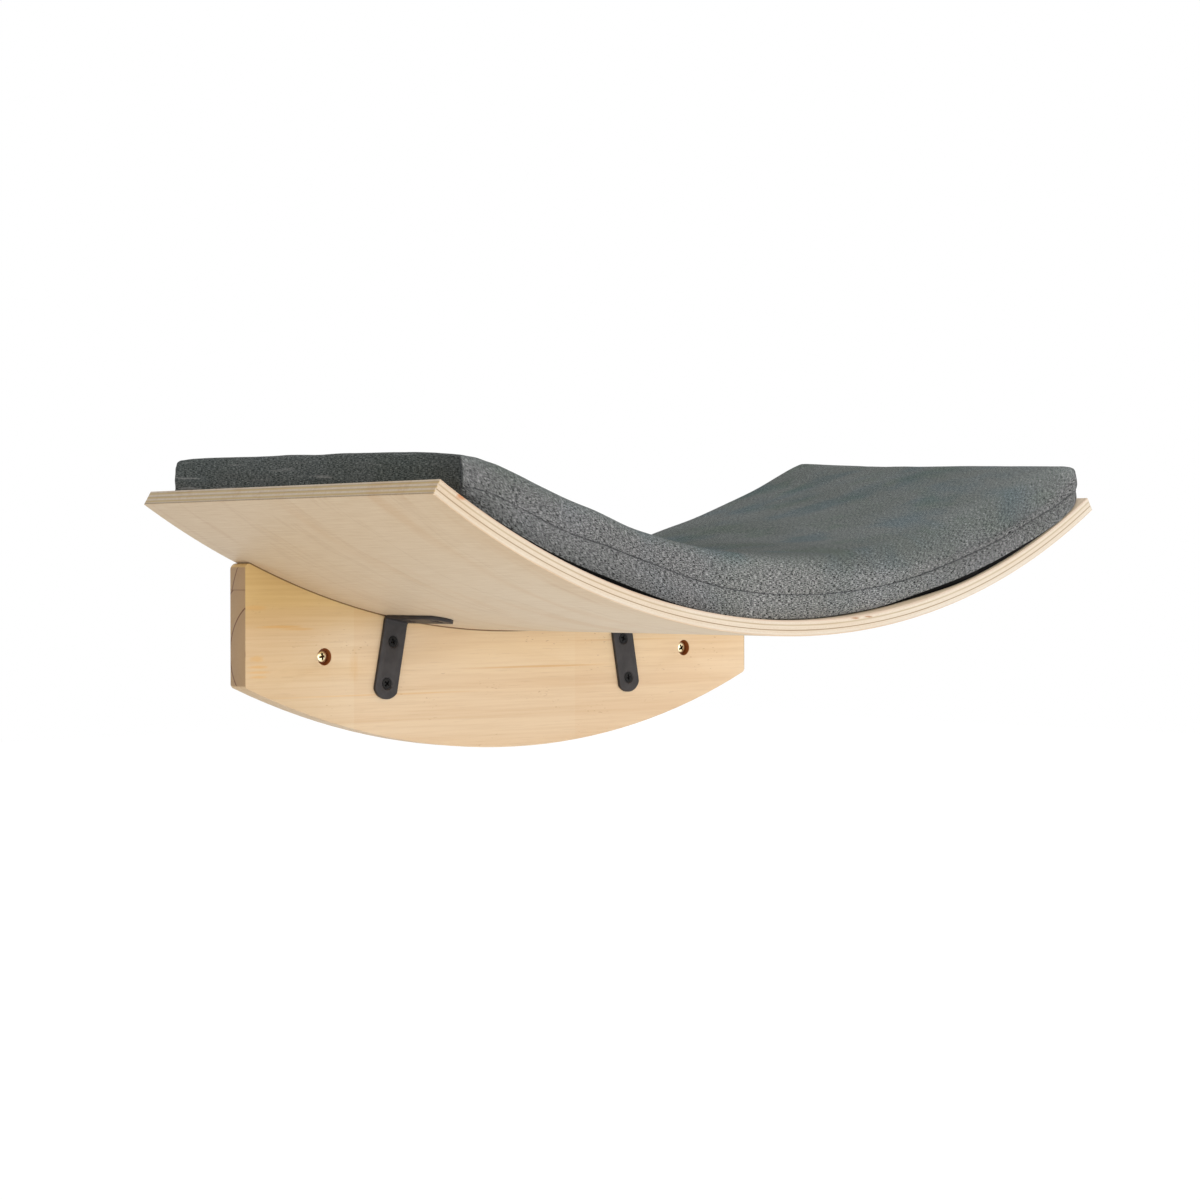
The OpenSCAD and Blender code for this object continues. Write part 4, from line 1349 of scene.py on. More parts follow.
@dataclass
class Screws:
    """The eight countersunk bracket screws and the two wall screws, heads at Z 0 and up."""

    bend: Bend
    head_radius: float = 3.2 * MM
    shank_radius: float = 1.75 * MM
    board_screw_length: float = 11.5 * MM
    shelf_screw_length: float = 8.5 * MM
    head_sink: float = 0.55 * MM
    bracket_thickness: float = 2.0 * MM
    board_front: float = -14.0 * MM
    hole_places: Pair = (14.0 * MM, 38.5 * MM)
    bracket_places: Pair = (-89.8 * MM, 84.2 * MM)
    wall_places: Pair = (-140.0 * MM, 140.0 * MM)
    wall_turns: Pair = (0.12, 0.55)
    wall_head_seat: float = -9.6 * MM
    wall_length: float = 45.0 * MM

    def cross(self, reach: float, width: float, depth: float, top: float) -> list[Shape]:
        """The cutters of a cross recess: two tapering blades.

        Args:
            reach: Half the length of a blade.
            width: Its half width.
            depth: How deep it goes below the top.
            top: Height of the head's top.

        Returns:
            Points and faces of each blade.
        """
        corners = ((-1, -1), (1, -1), (1, 1), (-1, 1))
        quads: Faces = [
            (0, 3, 2, 1), (4, 5, 6, 7), (0, 1, 5, 4), (1, 2, 6, 5), (2, 3, 7, 6), (3, 0, 4, 7),
        ]
        points = [
            (sx * reach * share, sy * width * share, height)
            for height, share in ((top + 0.3 * MM, 1.12), (top - depth, 0.42))
            for sx, sy in corners
        ]
        return [(points, quads), ([(y, x, height) for x, y, height in points], quads)]

    def cut_head(self, name: str, profile: Sequence[Pair], blades: list[Shape]) -> Piece:
        """Turns a screw and cuts its cross recess.

        Args:
            name: The piece's name.
            profile: Radius and height from the point up to the head's top.
            blades: The cutters of the recess.

        Returns:
            The screw as an object.
        """
        screw = new_piece(name, mesh_of(name, turned_shape(profile, 40)))
        for blade in blades:
            tool = new_piece(name + "_tool", mesh_of("tool", blade))
            step = screw.modifiers.new("recess", "BOOLEAN")
            step.operation, step.object, step.solver = "DIFFERENCE", tool, "EXACT"
            baked(screw)
            bpy.data.objects.remove(tool)
        return screw

    def placed(
        self, name: str, spots: Sequence[tuple[Vector, Vector, float]], screw: Piece, material: Material
    ) -> Piece:
        """Puts a screw on each spot.

        Args:
            name: The piece's name.
            spots: Place, outward aim and turn of each screw.
            screw: The screw to place.
            material: Its material.

        Returns:
            All the screws as one piece.
        """
        host = bpy.data.meshes.new(name)
        host.from_pydata([tuple(p) for p, _, _ in spots], [], [])
        host.attributes.new("aim", "FLOAT_VECTOR", "POINT")
        host.attributes.new("turn", "FLOAT", "POINT")
        host.attributes["aim"].data.foreach_set("vector", [c for _, aim, _ in spots for c in aim])
        host.attributes["turn"].data.foreach_set("value", [turn for _, _, turn in spots])
        return grown(name, host, Trees.screw_set(), {"Screw": screw, "Material": material}, 32.0)

    def bracket_screw(self, name: str, length: float) -> Piece:
        """A countersunk screw with a slightly domed head."""
        r, s = self.head_radius, self.shank_radius
        profile = [
            (0.05 * MM, -length), (0.4 * MM, -length + 0.2 * MM), (s, -length + 3 * MM), (s, s - r),
            (r - 0.05 * MM, 0.0), (r, 0.1 * MM), (r - 0.1 * MM, 0.22 * MM), (r * 0.7, 0.27 * MM),
            (r * 0.35, 0.3 * MM), (0.05 * MM, 0.3 * MM),
        ]
        return self.cut_head(name, profile, self.cross(1.95 * MM, 0.48 * MM, 1.3 * MM, 0.3 * MM))

    def build(self, palette: Palette) -> list[Piece]:
        """Makes and places all ten screws.

        Args:
            palette: The finishes.

        Returns:
            The pieces, one for each kind of screw.
        """
        bend, pieces = self.bend, []
        board_spots, shelf_spots = [], []
        for number, place in enumerate(self.bracket_places):
            turn = math.asin(place / bend.under_radius)
            outward = Vector((math.sin(turn), 0.0, -math.cos(turn)))
            corner = Vector((0.0, self.board_front, bend.axis_height)) + outward * bend.under_radius
            for row, far in enumerate(self.hole_places):
                spin = 0.35 + 0.9 * number + 0.5 * row
                flat = corner + outward * far + Vector((0.0, self.head_sink - self.bracket_thickness, 0.0))
                board_spots.append((flat, Vector((0.0, -1.0, 0.0)), spin))
                under = corner + outward * (self.bracket_thickness - self.head_sink)
                under = under + Vector((0.0, -far, 0.0))
                shelf_spots.append((under, outward, spin + 0.4))
        nodes = {
            "board_screw": (board_spots, self.board_screw_length, "upper", "lower"),
            "shelf_screw": (shelf_spots, self.shelf_screw_length, "inner", "outer"),
        }
        for name, (spots, length, *rows) in nodes.items():
            screw = self.bracket_screw(name + "s_one", length)
            piece = self.placed(name + "s", spots, screw, palette["black_screw"])
            bpy.data.objects.remove(screw)
            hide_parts(*[f"{name}_{side}_{row}" for side in ("left", "right") for row in rows])
            pieces.append(piece)
        pieces.append(self.wall_screws(palette))
        for piece in pieces:
            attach(piece, "shelf")
        return pieces

    def wall_screws(self, palette: Palette) -> Piece:
        """The two yellow wall screws, with a cone in the hole's mouth, a low dome and a real thread."""
        r, rim, top = 3.3 * MM, 1.7 * MM, 2.35 * MM
        turns = np.linspace(0.0, math.pi / 2 - 0.02, 10)
        dome = [(r * math.cos(q), rim + (top - rim) * math.sin(q)) for q in turns]
        length, core = self.wall_length, 1.25 * MM
        profile = [
            (0.05 * MM, -length), (0.35 * MM, -length + 0.4 * MM), (core, -length + 3 * MM),
            (core, -11.2 * MM), (1.4 * MM, -9.6 * MM), (1.4 * MM, -0.4 * MM), (r - 0.15 * MM, rim - 0.3 * MM),
            (r, rim - 0.15 * MM), *dome,
        ]
        plain = self.cut_head("wall_screw_plain", profile, self.cross(2.3 * MM, 0.62 * MM, 1.5 * MM, top))
        values = {
            "Core Radius": core + 0.08 * MM, "Ridge": 0.4 * MM, "Pitch": 1.7 * MM, "Top": -9.9 * MM,
            "Length": length - 13.4 * MM, "Material": palette["yellow_zinc"],
        }
        screw = grown("wall_screw_one", plain.data, Trees.screw_thread(), values, 32.0)
        bpy.data.objects.remove(plain)
        aim = Vector((0.0, -1.0, 0.0))
        turns = zip(self.wall_places, self.wall_turns)
        spots = [(Vector((x, self.wall_head_seat, 0.0)), aim, turn) for x, turn in turns]
        piece = self.placed("wall_screws", spots, screw, palette["yellow_zinc"])
        bpy.data.objects.remove(screw)
        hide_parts("wall_screw_left", "wall_screw_right")
        return piece


@dataclass
class GripTapes:
    """Hook tapes on the plywood and loop tapes under the cushion."""

    bend: Bend
    place: float = 177.0 * MM
    width: float = 25.0 * MM
    length: float = 200.0 * MM
    middle: float = -127.0 * MM
    thick: float = 1.2 * MM
    base: float = 0.6 * MM
    gap: float = 0.3 * MM
    pitch: float = 1.7 * MM

    def hook(self) -> Piece:
        """One small mushroom hook, standing on Z 0."""
        tall = self.thick - self.base
        profile = [
            (0.16 * MM, -0.05 * MM), (0.13 * MM, tall * 0.6), (0.34 * MM, tall * 0.72),
            (0.28 * MM, tall * 0.92), (0.05 * MM, tall),
        ]
        return new_piece("hook", mesh_of("hook", turned_shape(profile, 6)))

    def loop(self) -> Piece:
        """One small loop of yarn, hanging from Z 0."""
        tall = self.thick - self.base
        turns = np.linspace(0.0, math.pi, 7)
        arch = -tall * 0.92 * np.sin(turns)
        path = np.stack([0.6 * MM * np.cos(turns), 0.25 * MM * np.sin(2 * turns), arch], -1)
        return new_piece("loop", mesh_of("loop", tube_shape(path, 0.09 * MM, 4)))

    def build(self, palette: Palette) -> list[Piece]:
        """Makes the four tapes.

        Args:
            palette: The finishes.

        Returns:
            The four pieces.
        """
        hook, loop = self.hook(), self.loop()
        tree, pieces = Trees.bent_pile(), []
        seat, tall = self.bend.seat_radius, self.thick - self.base
        span = (self.middle - self.length / 2, self.middle + self.length / 2)
        kinds = (
            ("hook", hook, seat - self.gap, (0.0, self.base), self.base, "shelf", 0.12),
            ("loop", loop, seat - 2 * self.gap - self.thick, (tall, self.thick), tall, "cushion", 0.4),
        )
        for kind, element, radius, heights, root, body, jitter in kinds:
            for side in Side:
                middle = side.value * self.place * radius / seat
                ends = (middle - self.width / 2, middle + self.width / 2)
                host = mesh_of(kind, flat_bar(ends, span, heights, 0.2 * MM, 2 * MM))
                slot = kind + "_tape"
                values = {
                    "Element": element, "Width": self.width - 4 * MM, "Length": self.length - 3 * MM,
                    "Pitch": self.pitch, "Centre": (middle, self.middle, root), "Jitter": jitter,
                    "Swing": math.pi, "Seed": 11 + side.value, "Radius": radius,
                    "Axis Height": self.bend.axis_height, "Material": palette[slot],
                }
                name = f"{kind}_strip_{side.name.lower()}"
                piece = grown(name + "_dressed", host, tree, values)
                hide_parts(name)
                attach(piece, body)
                pieces.append(piece)
        for element in (hook, loop):
            bpy.data.objects.remove(element)
        return pieces


@dataclass
class Grid:
    """The cover's points as stations by rows, and what belongs to each.

    rolled holds the station and the girth of each point, local its distance from the middle and its
    height, all in millimetres. marks says which rows belong to what.
    """

    points: Array
    rolled: Array
    local: Array
    marks: dict[str, slice]


@dataclass
class Cushion:
    """The cushion: a bent pad with a drawn-in seam along its front side. Sizes in millimetres."""

    bend: Bend
    half_long: float = 248.0
    half_deep: float = 117.0
    middle: float = 127.0
    shift: float = 9.0
    splay: float = 7.0
    front_draw: float = 1.5
    thick: float = 34.8
    end_thick: float = 21.0
    crown: float = 3.0
    end_fall: float = 32.0
    top_round: float = 5.5
    right_round: float = 19.0
    corner_round: float = 2.8
    corner_fade: float = 22.0
    back_round: float = 6.0
    back_corner: float = 4.5
    foot_round: float = 1.2
    left_forward: float = 6.5
    right_forward: float = 6.6
    foot_back: float = 0.3
    foot_gap: float = 0.45
    end_round: float = 2.4
    left_reach: float = 4.0
    right_reach: float = 1.5
    top_reach: float = 2.8
    wall_reach: float = 5.0
    seam_height: float = 13.4
    seam_drop: float = 9.9
    seam_width: float = 0.8
    seam_depth: float = 0.5
    seam_thread: float = 0.21
    slack: float = 0.4
    most_swell: float = 2.0
    held_low: float = 6.5
    held_back: float = 13.0
    steps: int = 20
    tape_place: float = 177.0
    tape_half: float = 12.5
    tape_margin: float = 15.0
    tape_fade: float = 36.0
    tape_lift: float = 3.0
    clearance: float = 0.3
    cloth_room: float = 2.6
    end_rings: int = 13

    def near_end(self, s: Array, fall: float) -> Array:
        """1 at both ends of the cushion, fading towards its middle."""
        return np.exp(-(self.half_long - np.abs(s)) / fall)

    def base_at(self, s: Array) -> Array:
        """Height of the cushion's base over the seat, which clears the tapes."""
        past = np.abs(np.abs(s + self.shift) - self.tape_place) - self.tape_half - self.tape_margin
        return self.clearance + self.tape_lift * (1 - eased(past, 0.0, self.tape_fade))

    def top_at(self, s: Array) -> Array:
        """Height of the top's long edges, which falls towards both ends."""
        return self.thick - (self.thick - self.end_thick) * self.near_end(s, self.end_fall)

    def seam_at(self, s: Array) -> Array:
        """Height of the seam along the front side."""
        t = s / self.half_long
        dropped = self.seam_drop * np.exp(-(self.half_long + s) / 16.0) + 1.4 * hump(s, 226.0, 20.0)
        raised = 3.6 * hump(s, -120.0, 45.0) + np.where(s > 0, 0.27 * self.forward_at(s), 0.0)
        return self.seam_height - 4.0 * t - 2.0 * t * t + raised - dropped

    def forward_at(self, s: Array) -> Array:
        """How far the foot stands forward of the front side, on both wings but not in the middle."""
        left = self.left_forward * eased(-s, 50.0, 80.0)
        right = self.right_forward * eased(s, 80.0, 55.0)
        return np.where(s < 0, left, right) * (1 - self.near_end(s, 7.0))

    def foot_at(self, s: Array) -> Array:
        """Height of the front side's lower edge, which stands clear of the seat on both wings."""
        right = 0.2 + 2.8 * eased(s, 45.0, 88.0) * eased(-s, -232.0, 60.0)
        left = 0.4 + 1.35 * hump(s, -150.0, 48.0)
        return np.where(s < -40.0, left, np.maximum(right, left))

    def round_at(self, s: Array) -> Array:
        """Radius of the top's front edge, which grows softer to the right and tight at both ends."""
        wide = self.top_round + (self.right_round - self.top_round) * eased(s, -60.0, 240.0)
        return wide + (self.corner_round - wide) * self.near_end(s, self.corner_fade)

    def end_lift(self, s: Array, deep: Array) -> Array:
        """How much higher the ends' tops are, which lean to the front on the right."""
        u = np.clip(deep / self.half_deep, -1.0, 1.0)
        left = 1.7 - 0.3 * u - np.where(u < 0, 2.2 * np.abs(u) ** 3, 3.3 * u**6)
        right = -1.25 - 2.65 * u - 0.5 * (1 - u * u)
        return np.where(s < 0, left, right) * self.near_end(s, 30.0)

    def uneven(self, s: Array, deep: Array) -> Array:
        """How the used pad is thicker or thinner than its even form, at the front and at the back."""
        u = np.clip(deep / self.half_deep, -1.0, 1.0)
        front = 1.3 * hump(s, -148.0, 18.0) - 0.3 * hump(s, -194.0, 10.0)
        back = 1.1 * hump(s, 112.0, 22.0) - 2.4 * hump(s, 206.0, 35.0)
        return front * (1 + u) / 2 + back * (1 - u) / 2

    def stations(self) -> tuple[Array, Array]:
        """Places along the cushion, and how far the outline is drawn in there to close the ends."""
        long, e = self.half_long, self.end_round
        flat = long - e
        q = np.radians(np.linspace(0.0, 78.0, 6))
        ends = long - e * (1 - np.cos(q))
        inset = e * (1 - np.sin(q))
        closing = np.linspace(self.end_thick / 2 - 0.02, e, 5)[:-1]
        left = np.concatenate([np.full(4, -long), -ends])
        left_in = np.concatenate([closing, inset])
        body = np.linspace(-flat, flat, 236)
        places = np.concatenate([left, body, -left[::-1]])
        drawn = np.concatenate([left_in, np.zeros(len(body)), left_in[::-1]])
        return places, drawn

    def outline(self, s: Array) -> tuple[Array, Array, dict[str, slice]]:
        """The outline at each station, from the front foot up, over the top and back along the base.

        Args:
            s: The stations.

        Returns:
            Distances from the middle, heights, and which rows belong to what.
        """
        low, high, seam = self.base_at(s) + self.slack * 0.3, self.top_at(s) - self.slack, self.seam_at(s)
        w = self.seam_width
        foot = np.minimum(self.foot_round, (seam - w - low) / 2)
        deep_front = self.half_deep - self.slack * 0.6 - self.front_draw * (1 - (s / self.half_long) ** 2)
        deep_back = self.half_deep - 0.1 + self.wall_reach * eased(-s, 214.0, 30.0)
        tighter = (self.back_corner - self.back_round) * self.near_end(s, self.corner_fade)
        back_round = self.back_round + tighter
        forward = self.forward_at(s)
        rows: list[tuple[Array, Array]] = []
        marks: dict[str, slice] = {}

        def side(
            deep: Array, edge: Array, low: Array, sewn: bool
        ) -> list[tuple[Array, Array]]:
            """One side's rows, from the foot to the top's edge."""
            out = [
                (deep - foot * (1 - math.sin(q)), low + foot * (1 - math.cos(q)))
                for q in np.radians([0, 22.5, 45, 67.5, 90])
            ]
            bulge = 1.3 if sewn else 0.0
            for k in range(1, 5):
                t = k / 5
                full = bulge * 0.6 * math.sin(math.pi * min(1.0, t * 1.1))
                out.append((deep + full, low + foot + (seam - w - low - foot) * t))
            for share, sunk in ((-1.0, 0.05), (-0.45, 0.55), (0.0, 1.0), (0.45, 0.55), (1.0, 0.05)):
                drawn = self.seam_depth * sunk if sewn else 0.0
                out.append((deep + bulge * 0.35 - drawn, seam + w * share))
            for k in range(1, 9):
                t = k / 9
                full = bulge * (0.35 + 0.65 * math.sin(math.pi * t) - 0.35 * t)
                out.append((deep + full, seam + w + (high - edge - seam - w) * t))
            out += [
                (deep - edge * (1 - math.cos(q)), high - edge * (1 - math.sin(q)))
                for q in np.radians(np.linspace(0, 90, 9))
            ]
            if not sewn:
                return out
            lean = [forward * climb(seam + 6.0 - h, 0.0, seam - low + 6.0) ** 1.3 for _, h in out]
            return [(d + by, h) for (d, h), by in zip(out, lean)]

        front = side(deep_front, self.round_at(s), self.foot_at(s), True)
        rows += front
        marks["front"] = slice(0, len(front))
        marks["seam"] = slice(11, 12)
        wide_f, wide_b = deep_front - self.round_at(s), deep_back - back_round
        crown = self.crown * (self.top_at(s) - self.end_thick) / (self.thick - self.end_thick)
        count = 84
        for k in range(1, count):
            v = 1 - 2 * k / count
            deep = np.where(v > 0, v * wide_f, v * wide_b)
            rows.append((deep, high + crown * (1 - v * v)))
        marks["top"] = slice(len(front) - 11, len(rows) + 4)
        back = side(deep_back, back_round, low, False)
        marks["back"] = slice(len(rows), len(rows) + len(back))
        rows += [(-d, h) for d, h in reversed(back)]
        inner_b, inner_f = deep_back - foot, deep_front - foot + forward - self.foot_back
        base_count = 46
        for k in range(1, base_count):
            deep = -inner_b + (inner_b + inner_f) * k / base_count
            fall = np.clip((deep - 103.0) / 8.0, 0.0, 1.0)
            rows.append((deep, low + (self.foot_gap - low) * fall))
        rows.append((inner_f, self.foot_gap + 0 * low))
        deep = np.stack([np.broadcast_to(r[0], s.shape) for r in rows], 1)
        rise = np.stack([np.broadcast_to(r[1], s.shape) for r in rows], 1)
        return deep, rise, marks

    def place(self, s: Array, deep: Array, rise: Array) -> Array:
        """Bends points of the cushion onto the seat, in metres."""
        drawn = 2.0 * (1 - np.clip(deep / self.half_deep, -1.0, 1.0) ** 2) * (np.abs(s) / self.half_long) ** 6
        reach = np.where(s < 0, self.left_reach, self.right_reach) / self.half_long
        fan = self.splay * deep / (2 * self.half_deep) / self.half_long
        splayed = s * (1 + reach * (s / self.half_long) ** 2 - fan)
        higher = np.clip(rise / self.end_thick, 0.0, 1.2)
        splayed = splayed + self.top_reach * higher * np.clip(s / self.half_long, 0.0, 1.0) ** 8
        seat = self.bend.seat_radius / MM
        radius = seat - rise
        turn = (splayed - np.sign(s) * drawn + self.shift) / radius
        z = self.bend.axis_height / MM - radius * np.cos(turn)
        return np.stack([radius * np.sin(turn), -(self.middle + deep), z], -1) * MM

    def grid(self) -> Grid:
        """All points of the sewn cover, bent onto the seat."""
        places, drawn = self.stations()
        deep, rise, marks = self.outline(places)
        half = self.end_thick / 2
        lift = self.end_lift(places[:, None], deep) + self.uneven(places[:, None], deep)
        rise = rise + lift * np.clip(rise / self.end_thick, 0.0, 1.0)
        share = (1 - drawn / self.half_deep)[:, None]
        deep = deep * share
        rise = half + (rise - half) * (1 - drawn / half)[:, None]
        points = self.place(places[:, None] + 0 * deep, deep, rise)
        lengths = np.hypot(np.diff(deep, axis=1), np.diff(rise, axis=1))
        girth = np.concatenate([np.zeros((len(places), 1)), np.cumsum(lengths, 1)], 1)
        rolled = np.stack([places[:, None] + 0 * girth, girth], -1)
        return Grid(points, rolled, np.stack([deep, rise], -1), marks)

    def swell(self, points: Array, faces: Faces) -> Array:
        """Blows the cover up with Blender's cloth and returns how each point moves.

        The simulation runs on an evenly remeshed copy. Its base and back stay where they are.

        Args:
            points: The cover's points, one row each.
            faces: Its faces.

        Returns:
            One displacement for each point, in metres.
        """
        mesh = mesh_of("cover_form", ([tuple(p) for p in points], faces))
        cover = new_piece("cover_form", mesh)
        voxels = cover.modifiers.new("even mesh", "REMESH")
        voxels.mode, voxels.voxel_size = "VOXEL", 5.0 * MM
        baked(cover)
        rest = np.array([v.co for v in cover.data.vertices])
        reach = np.hypot(rest[:, 0], self.bend.axis_height - rest[:, 2])
        low = self.bend.seat_radius - reach < self.held_low * MM
        held = low | (rest[:, 1] > -self.held_back * MM)
        group = cover.vertex_groups.new(name="held")
        group.add([int(i) for i in np.nonzero(held)[0]], 1.0, "REPLACE")
        cloth = cover.modifiers.new("cloth", "CLOTH")
        fabric = cloth.settings
        fabric.quality = 6
        fabric.mass = 0.3
        fabric.tension_stiffness = fabric.compression_stiffness = 18.0
        fabric.shear_stiffness = 6.0
        fabric.bending_stiffness = 0.4
        fabric.shrink_min = -0.012
        fabric.use_pressure = True
        fabric.uniform_pressure_force = 3.2
        fabric.effector_weights.gravity = 0.0
        fabric.vertex_group_mass = "held"
        cloth.collision_settings.use_collision = False
        cloth.point_cache.frame_start, cloth.point_cache.frame_end = 1, self.steps
        scene = bpy.context.scene
        for step in range(1, self.steps + 1):
            scene.frame_set(step)
            bpy.context.view_layer.update()
        graph = bpy.context.evaluated_depsgraph_get()
        blown = cover.evaluated_get(graph).to_mesh()
        moved = np.array([v.co for v in blown.vertices]) - rest
        far = np.linalg.norm(moved, axis=1)
        LOG.info("cover swells by %.1f mm at most, %.1f mm on average", far.max() / MM, far.mean() / MM)
        moved *= self.most_swell * MM / max(float(far.max()), 1e-6)
        polygons = [tuple(polygon.vertices) for polygon in cover.data.polygons]
        tree = BVHTree.FromPolygons([tuple(p) for p in rest], polygons)
        result = np.zeros_like(points)
        for i, point in enumerate(points):
            _, _, index, _ = tree.find_nearest(Vector(point))
            corners = list(polygons[index])
            weight = 1.0 / (np.linalg.norm(rest[corners] - point, axis=1) ** 2 + (1.0 * MM) ** 2)
            result[i] = (moved[corners] * weight[:, None]).sum(0) / weight.sum()
        scene.frame_set(1)
        bpy.data.objects.remove(cover)
        return result

    def wrinkles(self, grid: Grid) -> Array:
        """Small slack folds, mostly on the left end and near the corners, in millimetres."""
        s, deep, rise = grid.rolled[..., 0], grid.local[..., 0], grid.local[..., 1]
        end = climb(np.abs(s), 236.0, 12.0)
        lean = deep * 0.22 + rise * 1.1
        folds = 0.5 * np.sin(lean * 0.42 + 1.5 * np.sin(deep * 0.05))
        folds = folds + 0.3 * np.sin(lean * 0.9 - deep * 0.16 + 2.0)
        sag = 0.30 * np.sin(s * 0.031 + deep * 0.018) + 0.16 * np.sin(s * 0.067 - deep * 0.045 + 1.0)
        sag = sag + 0.10 * np.sin(deep * 0.09 + s * 0.013)
        corner = climb(np.abs(s), 190.0, 50.0) * climb(np.abs(deep), 70.0, 40.0)
        creases = 0.12 * corner * np.sin(s * 0.30 + rise * 0.55 + 2 * np.sin(s * 0.05))
        return end * folds * 0.5 + (1 - end) * (sag + creases)

    def build(self, palette: Palette) -> list[Piece]:
        """Makes the cover, the threads of its seams and the foam pad.

        Args:
            palette: The finishes.

        Returns:
            The cover, the seams and the foam pad.
        """
        grid = self.grid()
        shape = grid.points.shape
        flat = grid.points.reshape(-1, 3)
        moved = np.zeros_like(flat)
        moved = self.swell(flat, skin(*shape[:2]) + lids(*shape[:2]))
        normal = self.outward(grid.points)
        free = self.freedom(grid)
        folds = normal * self.wrinkles(grid)[..., None] * free * MM
        grid.points = self.kept_clear(grid.points + moved.reshape(shape) * free + folds)
        cover = self.cover_piece(grid, palette)
        seams = self.seam_piece(grid, normal, palette)
        foam = self.foam_piece(grid, normal, palette)
        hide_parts("cushion_cover")
        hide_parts("cushion_foam")
        for piece, slot in ((cover, "cover_cloth"), (seams, "zip_tape"), (foam, "foam")):
            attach(piece, "cushion")
        return [cover, seams, foam]

    def foam_piece(self, grid: Grid, normal: Array, palette: Palette) -> Piece:
        """The foam pad, which fills the cover from just under its cloth.

        Args:
            grid: The cover's shaped grid.
            normal: Its outward normals.
            palette: The finishes.

        Returns:
            The foam.
        """
        inner = (grid.points - normal * self.cloth_room * MM)[self.end_rings : -self.end_rings : 2, ::2]
        size = inner.shape[:2]
        faces = skin(*size) + lids(*size)
        mesh = mesh_of("foam_pad", ([tuple(p) for p in inner.reshape(-1, 3)], faces))
        smooth(mesh, 50)
        return new_piece("foam_pad", mesh, palette["foam"])

    @staticmethod
    def freedom(grid: Grid) -> Array:
        """How far each point may leave its place, from 0 to 1.

        The base and the back side stay, and the end panels move as one piece with their rims.

        Args:
            grid: The cover's grid.

        Returns:
            A share for each point.
        """
        stations, rows, _ = grid.points.shape
        marks = grid.marks
        by_row = np.ones(rows)
        by_row[marks["back"]] = 0.2
        by_row[marks["back"].stop :] = 0.0
        from_end = np.minimum(np.arange(stations), np.arange(stations)[::-1])
        panel = climb(-from_end, -8.0, 4.0)[:, None]
        return (by_row[None, :] * (1 - panel) + panel)[..., None]

    @staticmethod
    def outward(points: Array) -> Array:
        """Unit normals of the grid, pointing out of the cushion."""
        along = np.gradient(points, axis=0)
        round_ = (np.roll(points, -1, axis=1) - np.roll(points, 1, axis=1)) / 2
        normal = np.cross(round_, along)
        length = np.linalg.norm(normal, axis=-1, keepdims=True)
        normal = normal / np.maximum(length, 1e-12)
        middle = points.mean(axis=1, keepdims=True)
        facing = np.sign(((points - middle) * normal).sum(-1, keepdims=True).mean(axis=(0, 1), keepdims=True))
        return normal * facing

    def kept_clear(self, points: Array) -> Array:
        """Keeps the cushion off the seat, and its back side behind the zip."""
        points = points.copy()
        down = self.bend.axis_height - points[..., 2]
        reach = np.hypot(points[..., 0], down)
        limit = self.bend.seat_radius - self.clearance * MM
        squeeze = np.minimum(reach, limit) / np.maximum(reach, 1e-9)
        points[..., 0] *= squeeze
        points[..., 2] = self.bend.axis_height - down * squeeze
        corner = climb(-points[..., 0], 224.0 * MM, 20.0 * MM)
        back = self.half_deep - self.middle + self.wall_reach * corner
        points[..., 1] = np.minimum(points[..., 1], back * MM)
        return points

    def masks(self, grid: Grid) -> dict[str, Array]:
        """What the cloth's finish reads at each point: the top, the seam, the ends and painted shade.

        Args:
            grid: The cover's grid.

        Returns:
            A share from 0 to 1 for each point, by the mask's name.
        """
        s, deep, rise = grid.rolled[..., 0], grid.local[..., 0], grid.local[..., 1]
        panel = grid.marks["top"]
        shares = [0.0, 0.05, 0.12, 0.22, 0.35, 0.48, 0.6, 0.72, 0.82, 0.9, 0.96, 1.0]
        top = np.zeros(s.shape)
        top[:, panel] = 1.0
        # where the top's painted light and shade begins, lower down the rounded front edge on the right wing
        for row in range(panel.start - 3, panel.start + 11):
            early = 1.3 * climb(s[:, row], 40.0, 60.0)
            top[:, row] = np.interp(row + early, panel.start - 1 + np.arange(len(shares)), shares)
        top[:, panel.stop - 4 : panel.stop] = [0.85, 0.6, 0.35, 0.15]
        ends = climb(np.abs(s), self.half_long - self.end_round, 2.0)
        seam = np.zeros(s.shape)
        seam[:, 10:13] = [0.25, 1.0, 0.25]
        seam *= 0.25 + 0.75 * climb(np.abs(s + 5.0), 42.0, 60.0)
        seam *= 1 - climb(np.abs(s), self.half_long - 4.0, 1.0)
        # painted shade: the underside and the front foot's lowest rows are black, standing in for the shade
        # in the gap under the cushion
        dark = np.zeros(s.shape)
        dark[:, grid.marks["back"].stop :] = 1.0
        dark[:, :2] = 1.0
        dark *= 1 - ends
        # painted shade: a dark band along the end panels' bottom, and towards the left end's front
        end_foot = np.maximum(climb(-rise, -1.9, 0.9), 0.4 * climb(deep, 84.0, 32.0) * (s < 0))
        dark += ends * end_foot
        # painted shade near the foot, at the left end and along the left wing's front
        painted_foot_shade = 0.5 * np.exp(-(self.half_long + s) / 12.0) + 0.3 * climb(-s, 40.0, 40.0)
        dark = np.maximum(dark, climb(-rise, -10.0, 8.0) * painted_foot_shade * (1 - ends) * (deep > 90.0))
        # painted shade on the rounded front edge of the right wing's top
        right_wing = climb(s, 5.0, 40.0) * climb(-s, 6.0 - self.half_long, 12.0)
        rows = np.arange(s.shape[1])
        dark = np.maximum(dark, 0.21 * hump(rows, panel.start + 4.5, 3.2) * right_wing)
        # painted shade: a dark band down the left end's front corner
        dark[7:9, : panel.start + 9] = np.array([[0.9], [0.5]])
        return {"top_panel": top * (1 - ends), "seam": seam, "end_panel": ends, "dark": dark}

